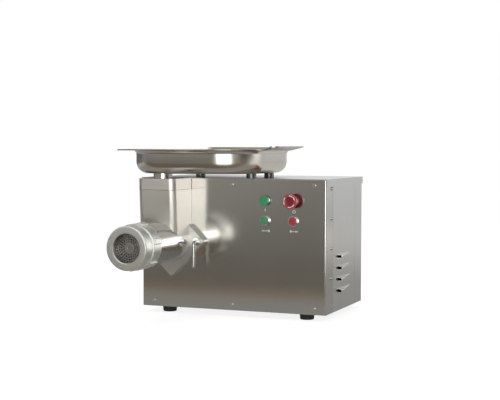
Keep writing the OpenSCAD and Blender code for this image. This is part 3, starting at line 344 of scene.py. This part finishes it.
# brushed metal: fine grain, cloudy tone, a few longer scratches
def metalFinish(name, look):
    material, tree = stageMaterial(name)
    place = addNode(tree, "TexCoord").outputs["Object"]
    grain = noise(tree, mapped(tree, place, look["grain"]), 1.0, 4.0, 0.6)
    longer = tuple(wear["scratchSize"] * g for g in look["grain"])
    scratch = noise(tree, mapped(tree, place, longer), 1.0, 2.0)
    cloud = noise(tree, place, wear["cloudSize"], 3.0, 0.55)
    fine = maths(tree, "MULTIPLY", grain, wear["grainShare"])
    mixed = maths(tree, "ADD", fine, maths(tree, "MULTIPLY", cloud, wear["cloudShare"]))
    rough = ranged(tree, mixed, 0.3, 0.7, *look["rough"])
    worn = tuple(c * (1 - look["cloud"]) for c in look["colour"])
    shine = tuple(min(1, c * (1 + wear["shine"] * look["cloud"])) for c in look["colour"])
    lines = ranged(tree, scratch, wear["scratchFrom"], wear["scratchTo"], 0.0, wear["scratchShine"])
    tone = blendColour(tree, lines, blendColour(tree, cloud, worn, shine), shine)
    skin = skinned(tree, tone, rough, grain, look["bump"])
    skin.inputs["Metallic"].default_value = 1.0
    if look["stretch"]:
        skin.inputs["Anisotropic"].default_value = look["stretch"]
        way = addNode(tree, "Tangent", direction_type="RADIAL", axis="Z")
        tree.links.new(way.outputs[0], skin.inputs["Tangent"])
    return material


# moulded or cast surface: fine bump, uneven gloss, faint dust
def shellFinish(name, look):
    material, tree = stageMaterial(name)
    place = addNode(tree, "TexCoord").outputs["Object"]
    fine = noise(tree, place, look["size"], 3.0)
    cloud = noise(tree, place, wear["patchSize"], 3.0)
    rough = ranged(tree, cloud, 0.3, 0.7, *look["rough"])
    dusty = tuple(c * wear["dustCover"] + wear["dust"] for c in look["colour"])
    tone = blendColour(tree, cloud, look["colour"], dusty)
    if look["dish"]:
        x, z, radius = look["dish"]
        shift = ((midX - x) * mm, 0, -z * mm)
        there = mapped(tree, place, (1, 0, 1), shift)
        far = addNode(tree, "VectorMath", {0: there}, operation="LENGTH").outputs["Value"]
        edge = ranged(tree, far, (radius - wear["dishIn"]) * mm, (radius + wear["dishOut"]) * mm)
        tone = blendColour(tree, edge, tuple(wear["dishTone"] * c for c in look["colour"]), tone)
    skin = skinned(tree, tone, rough, fine, look["bump"])
    skin.inputs["Coat Weight"].default_value = look["coat"]
    skin.inputs["Coat Roughness"].default_value = wear["coatRough"]
    return material


finishes = {name: metalFinish(name + "_finish", look) for name, look in steels.items()}
finishes.update({name: shellFinish(name + "_finish", look) for name, look in shells.items()})

for node in nodes.values():
    for holder in node.material_slots:
        holder.material = finishes[holder.material.name.split(".")[0]]
for name in ("side_panel_screws", "perforated_plate"):
    nodes[name].material_slots[0].material = finishes["plate_steel"]
print("stage: finishes are on every node")

# shaping tools


def only(*objects):
    deselectAll()
    for thing in objects:
        thing.select_set(True)
    bpy.context.view_layer.objects.active = objects[-1]


def edit(piece, mode="VERT"):
    only(piece)
    bpy.ops.object.mode_set(mode="EDIT")
    bpy.ops.mesh.select_mode(type=mode)
    bpy.ops.mesh.select_all(action="SELECT")


def leave(piece):
    bpy.ops.object.mode_set(mode="OBJECT")
    only(piece)
    bpy.ops.object.transform_apply(location=True, rotation=True, scale=True)
    return piece


# select faces, edges or vertices of a piece in edit mode by their place in machine millimetres
def pick(piece, test, kind="FACE"):
    bpy.ops.mesh.select_mode(type=kind)
    bpy.ops.mesh.select_all(action="DESELECT")
    bpy.ops.object.mode_set(mode="OBJECT")
    data = piece.data
    for item in {"FACE": data.polygons, "EDGE": data.edges, "VERT": data.vertices}[kind]:
        if kind == "FACE":
            p = piece.matrix_world @ item.center
        elif kind == "EDGE":
            a, b = (data.vertices[i].co for i in item.vertices)
            p = piece.matrix_world @ ((a + b) / 2)
        else:
            p = piece.matrix_world @ item.co
        item.select = bool(test(p.x / mm + midX, p.y / mm + midY, p.z / mm, item))
    bpy.ops.object.mode_set(mode="EDIT")


def applied(piece, kind, **settings):
    only(piece)
    modifier = piece.modifiers.new("shape", kind)
    for key, value in settings.items():
        setattr(modifier, key, value)
    bpy.ops.object.modifier_apply(modifier=modifier.name)
    return piece


def softened(piece, width, segments=2, angle=30):
    return applied(piece, "BEVEL", width=width * mm, segments=segments, limit_method="ANGLE",
                   angle_limit=radians(angle))


def carved(piece, tool, operation="DIFFERENCE"):
    applied(piece, "BOOLEAN", operation=operation, object=tool, solver="EXACT")
    bpy.data.objects.remove(tool)
    return piece


def tidied(piece, distance=0.01):
    edit(piece)
    bpy.ops.mesh.remove_doubles(threshold=distance * mm)
    bpy.ops.mesh.normals_make_consistent(inside=False)
    return leave(piece)


# a turned shape about an axis along Y; profile is (y, radius)
def turned(name, profile, x, z, sides=96):
    deselectAll()
    y, r = profile[0]
    bpy.ops.mesh.primitive_circle_add(vertices=sides, radius=r * mm, fill_type="NOTHING",
                                      location=spot(x, y, z), rotation=(pi / 2, 0, 0))
    piece = bpy.context.object
    piece.name = name
    edit(piece, "EDGE")
    for y2, r2 in profile[1:]:
        bpy.ops.mesh.extrude_edges_move()
        bpy.ops.transform.translate(value=(0, (y2 - y) * mm, 0))
        k = r2 / r
        bpy.ops.transform.resize(value=(k, 1, k), center_override=spot(x, y2, z))
        y, r = y2, r2
    bpy.ops.mesh.select_all(action="SELECT")
    bpy.ops.mesh.remove_doubles(threshold=0.002 * mm)
    bpy.ops.mesh.fill_holes(sides=0)
    bpy.ops.mesh.select_all(action="SELECT")
    bpy.ops.mesh.normals_make_consistent(inside=False)
    return leave(piece)


def block(name, low, high):
    deselectAll()
    a, b = spot(*low), spot(*high)
    bpy.ops.mesh.primitive_cube_add(size=1, location=(a + b) / 2, scale=b - a)
    piece = bpy.context.object
    piece.name = name
    bpy.ops.object.transform_apply(location=True, rotation=True, scale=True)
    return piece


def rod(name, start, end, radius, sides=48):
    deselectAll()
    a, b = spot(*start), spot(*end)
    turn = (b - a).to_track_quat("Z", "Y").to_euler()
    bpy.ops.mesh.primitive_cylinder_add(vertices=sides, radius=radius * mm, depth=(b - a).length,
                                        location=(a + b) / 2, rotation=turn)
    piece = bpy.context.object
    piece.name = name
    bpy.ops.object.transform_apply(location=True, rotation=True, scale=True)
    return piece


# a flat sheet with rounded corners; where picks the corners by x and y
def roundedSheet(name, low, high, z, radius, segments=14, where=None):
    deselectAll()
    middle = ((low[0] + high[0]) / 2, (low[1] + high[1]) / 2, z)
    bpy.ops.mesh.primitive_plane_add(size=1, location=spot(*middle))
    piece = bpy.context.object
    piece.name = name
    piece.scale = ((high[0] - low[0]) * mm, (high[1] - low[1]) * mm, 1)
    bpy.ops.object.transform_apply(location=True, rotation=True, scale=True)
    edit(piece)
    pick(piece, lambda x, y, h, v: where is None or where(x, y), "VERT")
    bpy.ops.mesh.bevel(offset=radius * mm, offset_type="OFFSET", segments=segments, affect="VERTICES")
    return piece


# turns a sheet's faces over where the given one looks to the rear
def faceFront(piece, face):
    if face.normal.y > 0:
        edit(piece)
        bpy.ops.mesh.flip_normals()
        leave(piece)


def joined(name, *pieces):
    only(*pieces)
    bpy.ops.object.join()
    piece = bpy.context.object
    piece.name = name
    return piece


# a finished piece: shaded, coloured, riding on its body and standing for its nodes
def finished(piece, name, body, finish, *cadNodes, angle=32, slot=None):
    piece.name = name
    piece.data.name = name
    only(piece)
    bpy.ops.object.transform_apply(location=True, rotation=True, scale=True)
    bpy.ops.object.shade_smooth_by_angle(angle=radians(angle))
    applied(piece, "WEIGHTED_NORMAL", mode="FACE_AREA", weight=50, keep_sharp=True)
    piece.data.materials.clear()
    piece.data.materials.append(finishes[finish])
    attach(piece, body)
    if cadNodes:
        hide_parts(*cadNodes)
    return piece


# feed tray

tray = dict(left=12, width=382, front=-160, length=390, rim=466, under=400, corner=125, lip=12, wall=1.5,
            flare=14, turn=78, tuck=0.8, bottom=30, hem=3.6, wingLeft=62, wingRight=48, wingLength=220,
            wingIn=3, wingRise=9.1, wingCorner=22, backLip=6.3, lipSink=0.4, lipStart=78,
            lipSlant=(0.66, 0, -0.75), spoutX=100, spoutY=-72, spoutR=26, spoutLength=40, edge=0.35)


def rimSheet(t, name, z):
    low = (t["left"] - t["lip"], t["front"] - t["lip"])
    high = (t["left"] + t["width"] + t["lip"], t["front"] + t["length"] + t["lip"])
    return roundedSheet(name, low, high, z, t["corner"] + t["lip"], 18)


# how far in and how far down each ring of the basin lies: flared rim, upright wall, round bottom edge
def basinRings(t, flareRings=6, bottomRings=8):
    drop = t["rim"] - t["wall"] - t["under"]
    angles = [radians(t["turn"] * i / flareRings) for i in range(1, flareRings + 1)]
    rings = [(t["flare"] * sin(a), -t["flare"] * (1 - cos(a))) for a in angles]
    wallIn = rings[-1][0]
    rings.append((wallIn, t["bottom"] - drop))
    for i in range(1, bottomRings + 1):
        a = radians(90 - t["turn"] + t["turn"] * i / bottomRings)
        rings.append((wallIn + t["tuck"] + t["bottom"] * (1 - cos(a)), t["bottom"] * (1 - sin(a)) - drop))
    return rings


def makeBasin(t):
    pan = rimSheet(t, "pan", t["rim"] - t["wall"])
    pick(pan, lambda x, y, z, f: True)
    went, fell = 0.0, 0.0
    for inward, down in basinRings(t):
        bpy.ops.mesh.inset(thickness=(inward - went) * mm, depth=0)
        bpy.ops.transform.translate(value=(0, 0, (down - fell) * mm))
        went, fell = inward, down
    leave(pan)
    applied(pan, "SOLIDIFY", thickness=t["wall"] * mm, offset=1.0)
    return tidied(pan)


# a flat wing on the left and a raised one on the right
def makeWing(t, side):
    base = t["left"] if side < 0 else t["left"] + t["width"]
    inner = base + side * t["wingIn"]
    outer = base + side * (t["wingLeft"] if side < 0 else t["wingRight"])
    low = t["front"] + (t["length"] - t["wingLength"]) / 2
    wing = roundedSheet("wing", (min(inner, outer), low), (max(inner, outer), low + t["wingLength"]),
                        t["rim"] - t["hem"], t["wingCorner"], 10, lambda x, y: abs(x - outer) < 1)
    leave(wing)
    applied(wing, "SOLIDIFY", thickness=t["hem"] * mm, offset=1.0)
    if side > 0:
        edit(wing)
        pick(wing, lambda x, y, z, v: x > inner + 4, "VERT")
        bpy.ops.transform.translate(value=(0, 0, t["wingRise"] * mm))
        leave(wing)
    return wing


# a strip of the rim drawn up along the back, cut off at both ends, slanted at the left one
def makeBackLip(t):
    right, back = t["left"] + t["width"], t["front"] + t["length"]
    strip = rimSheet(t, "strip", t["rim"] - t["lipSink"])
    bpy.ops.mesh.select_all(action="SELECT")
    bpy.ops.mesh.delete(type="ONLY_FACE")
    bpy.ops.mesh.select_all(action="SELECT")
    bpy.ops.mesh.extrude_edges_move()
    bpy.ops.transform.translate(value=(0, 0, t["backLip"] * mm))
    cuts = (((0, back - t["corner"], 0), (0, 1, 0)),
            ((right - t["corner"] / 2, 0, 0), (-1, 0, 0)),
            ((t["left"] + t["lipStart"], 0, t["rim"]), t["lipSlant"]))
    for point, normal in cuts:
        bpy.ops.mesh.select_all(action="SELECT")
        bpy.ops.mesh.bisect(plane_co=spot(*point), plane_no=normal, clear_inner=True)
    leave(strip)
    applied(strip, "SOLIDIFY", thickness=t["wall"] * mm, offset=0.0)
    return tidied(strip)


def makeTray(t):
    pan = makeBasin(t)
    for extra in (makeWing(t, -1), makeWing(t, 1), makeBackLip(t)):
        carved(pan, extra, "UNION")
    x, y = t["spoutX"], t["spoutY"]
    top, low = t["under"] + 1, t["under"] - t["spoutLength"]
    carved(pan, rod("spout", (x, y, low), (x, y, top), t["spoutR"], 64), "UNION")
    carved(pan, rod("hole", (x, y, low - 3), (x, y, top + 6), t["spoutR"] - t["wall"], 64))
    return softened(pan, t["edge"], 2, 50)


# true on the wings, which are duller than the polished basin, and on the rim beside them
def onWing(x, y, z, face):
    half = tray["width"] / 2
    return z > tray["rim"] - 4 and abs(x - tray["left"] - half) > half + 6


# gives some faces of a finished piece a second finish
def refinished(piece, finish, test):
    piece.data.materials.append(finishes[finish])
    edit(piece)
    pick(piece, test)
    piece.active_material_index = 1
    bpy.ops.object.material_slot_assign()
    leave(piece)


feedPan = finished(makeTray(tray), "feedPan", "tray", "tray_steel", "feed_tray")
refinished(feedPan, "wing_steel", onWing)
print("stage: feed tray is made")

# throat column

column = dict(x=98.3, half=55.7, axisX=100, front=-116, corner=17, rear=-0.6, back=-2.1, wall=2, axisZ=208,
              seamZ=355, topZ=386, leanLow=10, leanHigh=0.4, barrel=57.2, mouth=27, feedY=-72, seam=0.7,
              lid=3)


# the throat's plan as a sheet: a flat front with two round corners
def columnSheet(c, z, back, lean):
    front = c["front"] + lean
    return roundedSheet("ring", (c["x"] - c["half"], front), (c["x"] + c["half"], back), z, c["corner"], 8,
                        lambda x, y: y < front + 1)


# an open-backed shell between two heights, its front set back by so much at each
def columnShell(c, low, high, leanLow, leanHigh, back):
    rings = []
    for z, lean in ((low, leanLow), (high, leanHigh)):
        ring = columnSheet(c, z, back, lean)
        bpy.ops.mesh.select_all(action="SELECT")
        bpy.ops.mesh.delete(type="ONLY_FACE")
        pick(ring, lambda x, y, h, e: y > back - 0.5 and abs(x - c["x"]) < c["half"] - 1, "EDGE")
        bpy.ops.mesh.delete(type="EDGE")
        leave(ring)
        rings.append(ring)
    shape = joined("shell", *rings)
    edit(shape, "EDGE")
    bpy.ops.mesh.bridge_edge_loops()
    bpy.ops.mesh.select_all(action="SELECT")
    bpy.ops.mesh.normals_make_consistent(inside=False)
    leave(shape)
    faceFront(shape, min(shape.data.polygons, key=lambda f: f.center.y))
    return applied(shape, "SOLIDIFY", thickness=c["wall"] * mm, offset=-1.0)


def makeShroud(c):
    shroud = columnShell(c, c["axisZ"], c["seamZ"] - c["seam"], c["leanLow"], c["leanHigh"], c["rear"])
    x, z = c["axisX"], c["axisZ"]
    carved(shroud, rod("tool", (x, 20, z), (x, -200, z), c["barrel"], 96))
    return softened(shroud, 0.3, 2, 50)


def makeThroatCollar(c):
    piece = columnShell(c, c["seamZ"], c["topZ"] - 1, 0, 0, c["back"])
    lid = columnSheet(c, c["topZ"] - c["lid"], c["back"], 0)
    leave(lid)
    applied(lid, "SOLIDIFY", thickness=c["lid"] * mm, offset=1.0)
    carved(piece, lid, "UNION")
    x, y = c["axisX"], c["feedY"]
    carved(piece, rod("tool", (x, y, 340), (x, y, 400), c["mouth"], 64))
    return softened(piece, 0.8, 3, 50)


finished(makeShroud(column), "throatShroud", "head", "column_steel", "throat_shroud", slot="head_steel")
finished(makeThroatCollar(column), "throatCollar", "head", "collar_steel", "throat_collar", slot="head_steel")
print("stage: throat column is made")

# ring nut

nut = dict(x=100, z=208, face=-291, back=-205, front=59, rear=62, step=-250, mouth=39, thread=50.3, seat=41.3,
           lip=20, seatDepth=15.5, chamfer=1.8, lugs=6, lugTurn=15, lugWidth=16, lugOut=4, lugRound=2.2)


def makeNut(n):
    f, b, step, front, rear = n["face"], n["back"], n["step"], n["front"], n["rear"]
    inside, seatEnd = f + n["lip"], f + n["lip"] + n["seatDepth"]
    profile = [
        (f, n["mouth"] + n["chamfer"]), (f, front - 4), (f + 0.7, front - 2), (f + 2.2, front - 0.6),
        (f + 4.5, front), (step - 2, front), (step - 1, front - 0.8), (step, front - 0.8),
        (step + 0.8, rear - 0.6), (step + 2, rear), (b - 2.5, rear), (b - 0.7, rear - 0.7), (b, rear - 2.5),
        (b, n["thread"]), (seatEnd, n["thread"]), (seatEnd, n["seat"]), (inside, n["seat"]),
        (inside, n["mouth"]), (f + n["chamfer"], n["mouth"]), (f, n["mouth"] + n["chamfer"])]
    ring = turned("ring", profile, n["x"], n["z"], 128)
    tidied(ring, 0.02)
    top = n["z"] + rear
    for i in range(n["lugs"]):
        lug = block("lug", (n["x"] - n["lugWidth"] / 2, step + 4, top - 3),
                    (n["x"] + n["lugWidth"] / 2, b - 4, top + n["lugOut"]))
        edit(lug)
        pick(lug, lambda x, y, z, e: z > top, "EDGE")
        bpy.ops.mesh.bevel(offset=n["lugRound"] * mm, segments=4, affect="EDGES")
        bpy.ops.mesh.select_all(action="SELECT")
        bpy.ops.transform.rotate(value=-radians(n["lugTurn"] + 360 / n["lugs"] * i), orient_axis="Y",
                                 center_override=spot(n["x"], 0, n["z"]))
        leave(lug)
        carved(ring, lug, "UNION")
    return softened(ring, 0.3, 2, 50)


# true for the nut's inside, which gets a darker finish as painted shade in the bore
def inBorePaintedShade(x, y, z, face):
    return y > nut["face"] + 1.9 and (x - nut["x"]) ** 2 + (z - nut["z"]) ** 2 < 54 ** 2


ringNut = finished(makeNut(nut), "ringNut", "nut", "nut_steel", "ring_nut")
# the nut's inside gets the dark bore finish as painted shade
refinished(ringNut, "bore_steel", inBorePaintedShade)
print("stage: ring nut is made")

# buttons

caps = dict(
    startCap=dict(node="start_button", body="start", finish="green_plastic", x=376, z=326, radius=14,
                  back=-5.8, thick=7),
    forwardCap=dict(node="forward_button", body="forward", finish="green_plastic", x=376, z=271, radius=10.5,
                    back=-6.5, thick=2.5),
    reverseCap=dict(node="reverse_button", body="reverse", finish="red_plastic", x=458, z=271, radius=10.5,
                    back=-6.5, thick=2.5),
)
stem = dict(radius=8.98, back=26)
collar = dict(xs=(376, 458), z=271, front=-7, outer=14.5, mouth=10.8, floor=-2.5, body=11, bore=9.1, back=20)
mushroom = dict(x=458, z=326, front=-34, back=-21, radius=20, neck=13, neckEnd=-8.3, bore=9.1, seat=-24.1,
                pin=6.3, pinEnd=-29.1, arcRadius=15.6, arcWidth=2.1, arcTurn=74, arcs=3, arcStart=25,
                ink=0.12, inkOut=0.05, tip=2.3, tipTurn=6)


# a pressed cap: slightly domed face, rounded rim, stem to the rear
def makeCap(c):
    f, r, b = c["back"] - c["thick"], c["radius"], c["back"]
    k = min(1.0, c["thick"] / 4)
    profile = [(f, 0.8), (f + 0.05, 0.4 * r), (f + 0.2 * k, 0.72 * r), (f + 0.5 * k, 0.86 * r),
               (f + 1.0 * k, 0.95 * r), (f + 1.8 * k, 0.99 * r), (f + 2.6 * k, r), (b - 0.3, r), (b, r - 0.4),
               (b, stem["radius"]), (stem["back"], stem["radius"]), (stem["back"], 0.8)]
    return turned("cap", profile, c["x"], c["z"], 64)


for name, cap in caps.items():
    finished(makeCap(cap), name, cap["body"], cap["finish"], cap["node"])


# the stepped chrome collar of a direction button
def makeCollar(c, x):
    f, r = c["front"], c["outer"]
    profile = [(f, c["mouth"]), (f, r - 2.4), (f + 0.3, r - 2.0), (f + 1.2, r - 1.8), (f + 1.4, r - 1.4),
               (f + 1.6, r - 0.7), (f + 2.2, r - 0.2), (f + 3.2, r), (0, r), (0, c["body"]),
               (c["back"], c["body"]), (c["back"], c["bore"]), (c["floor"], c["bore"]),
               (c["floor"], c["mouth"]), (f, c["mouth"])]
    return turned("collar", profile, x, c["z"], 64)


finished(joined("collars", *[makeCollar(collar, x) for x in collar["xs"]]), "directionCollars", "housing",
         "screw_steel", "direction_bezels")


# the stop button's head: dished face, rounded rim, hollow neck
def makeMushroom(m):
    f, b, r = m["front"], m["back"], m["radius"]
    profile = [(f + 1.5, 0.8), (f + 1.4, 6), (f + 1.1, 10), (f + 0.5, 12.4), (f, 13.2), (f, 16.6),
               (f + 0.4, 17.9), (f + 1.3, 19), (f + 2.6, 19.7), (f + 4.2, r), (b - 2, r), (b - 0.6, r - 0.5),
               (b, r - 1.8), (b, 15), (b + 0.6, 13.6), (b + 1.8, m["neck"]), (m["neckEnd"], m["neck"]),
               (m["neckEnd"], m["bore"]), (m["seat"], m["bore"]), (m["seat"], m["pin"]),
               (m["pinEnd"], m["pin"]), (m["pinEnd"], 0.8)]
    return turned("mushroom", profile, m["x"], m["z"], 72)


# one printed arc with an arrow head, turned about the button's axis
def makeArc(m, start):
    axis = spot(m["x"], 0, m["z"])
    y, r = m["front"] - m["inkOut"], m["arcRadius"]
    deselectAll()
    bpy.ops.mesh.primitive_plane_add(size=m["arcWidth"] * mm, rotation=(pi / 2, 0, 0),
                                     location=spot(m["x"] + r, y, m["z"]))
    arc = bpy.context.object
    edit(arc)
    pick(arc, lambda x, y, z, v: z > m["z"], "VERT")
    bpy.ops.mesh.delete(type="VERT")
    bpy.ops.mesh.select_all(action="SELECT")
    bpy.ops.mesh.spin(steps=14, angle=radians(m["arcTurn"]), center=axis, axis=(0, -1, 0))
    leave(arc)
    a = radians(m["arcTurn"] + m["tipTurn"])
    end = spot(m["x"] + r * cos(a), y, m["z"] + r * sin(a))
    deselectAll()
    bpy.ops.mesh.primitive_circle_add(vertices=3, radius=m["tip"] * mm, fill_type="NGON", location=end,
                                      rotation=(pi / 2, 0, 0))
    head = bpy.context.object
    edit(head)
    bpy.ops.transform.rotate(value=-a, orient_axis="Y", center_override=end)
    leave(head)
    arc = joined("arc", arc, head)
    edit(arc)
    bpy.ops.transform.rotate(value=-radians(start), orient_axis="Y", center_override=axis)
    bpy.ops.mesh.select_all(action="SELECT")
    bpy.ops.mesh.normals_make_consistent(inside=False)
    leave(arc)
    faceFront(arc, arc.data.polygons[0])
    return applied(arc, "SOLIDIFY", thickness=m["ink"] * mm, offset=1.0)


starts = [mushroom["arcStart"] + 360 / mushroom["arcs"] * i for i in range(mushroom["arcs"])]
finished(makeMushroom(mushroom), "stopHead", "estop_turn", "stop_red", "estop_head", slot="red_plastic")
finished(joined("arcs", *[makeArc(mushroom, start) for start in starts]), "stopArrows", "estop_turn",
         "white_ink", slot="cream_plastic")
print("stage: buttons are made")

# printed signs under the buttons: a bar for on, a ring for stop, arrows for the two directions

signs = dict(face=-0.02, thick=0.12, line=1.5, barX=376, ringX=458, topZ=300, lowZ=243, ring=3.6, ringDrop=3,
             bar=7, barWide=1.8, shift=2, arrow=24, barb=6.5, barbTurn=40, barbRise=1.9, barbBack=2.0,
             tail=4.6, tailBack=3, tailStep=4)


def inkBar(s, x, z, width, height, turn=0.0):
    near, far = s["face"], s["face"] - s["thick"]
    bar = block("ink", (x - width / 2, far, z - height / 2), (x + width / 2, near, z + height / 2))

    def onCorner(a, b, c, e):
        return abs(abs(a - x) - width / 2) < 0.01 and abs(abs(c - z) - height / 2) < 0.01

    edit(bar)
    pick(bar, onCorner, "EDGE")
    bpy.ops.mesh.bevel(offset=0.3 * min(width, height) * mm, segments=3, affect="EDGES")
    bpy.ops.mesh.select_all(action="SELECT")
    bpy.ops.transform.rotate(value=turn, orient_axis="Y", center_override=spot(x, 0, z))
    return leave(bar)


def inkRing(s, x, z, radius):
    near, far = s["face"], s["face"] - s["thick"]
    outer, inner = radius + s["line"] / 2, radius - s["line"] / 2
    return turned("ink", [(far, inner), (far, outer), (near, outer), (near, inner), (far, inner)], x, z, 40)


def inkArrow(s, x, z, way):
    half = s["arrow"] / 2
    bars = [inkBar(s, x, z, s["arrow"], s["line"])]
    tip = x + way * (half - s["barbBack"])
    for side in (-1, 1):
        turn = -side * way * radians(s["barbTurn"])
        bars.append(inkBar(s, tip, z + side * s["barbRise"], s["barb"], s["line"], turn))
    for i in range(2):
        end = x - way * (half - s["tailBack"] - s["tailStep"] * i)
        bars.append(inkBar(s, end, z, s["line"], s["tail"]))
    return bars


inked = [inkBar(signs, signs["barX"], signs["topZ"], signs["barWide"], signs["bar"]),
         inkRing(signs, signs["ringX"] + signs["shift"], signs["topZ"] - signs["ringDrop"], signs["ring"])]
for x, way in ((signs["barX"], 1), (signs["ringX"], -1)):
    inked += inkArrow(signs, x + signs["shift"], signs["lowZ"], way)
finished(joined("inked", *inked), "panelSigns", "housing", "white_ink", slot="cream_plastic")
print("stage: signs are printed")

# small parts with rounded edges: a copy of the node, merged, its flat faces joined and its edges bevelled

rounded = dict(
    headFlange=dict(node="head_flange", finish="flange_steel", edge=1.6, slot="head_steel"),
    trayPosts=dict(node="tray_posts", finish="dark_steel", edge=0.8, slot="dark_steel"),
    rubberFeet=dict(node="rubber_feet", finish="rubber_black", edge=1.5, slot="rubber_black"),
    glandNut=dict(node="gland_nut", finish="black_plastic", edge=0.5, slot="black_plastic"),
    cableGland=dict(node="cable_gland", finish="black_plastic", edge=0.6, slot="black_plastic"),
)


def roundedCopy(name, r):
    only(nodes[r["node"]])
    bpy.ops.object.duplicate()
    piece = bpy.context.object
    piece.name = name
    edit(piece, "FACE")
    bpy.ops.mesh.remove_doubles(threshold=0.01 * mm)
    bpy.ops.mesh.dissolve_limited(angle_limit=radians(1.0))
    leave(piece)
    return softened(piece, r["edge"], 3, 40)


for name, r in rounded.items():
    finished(roundedCopy(name, r), name, "housing", r["finish"], r["node"], slot=r["slot"])
print("stage: small parts are rounded")

bpy.context.view_layer.update()
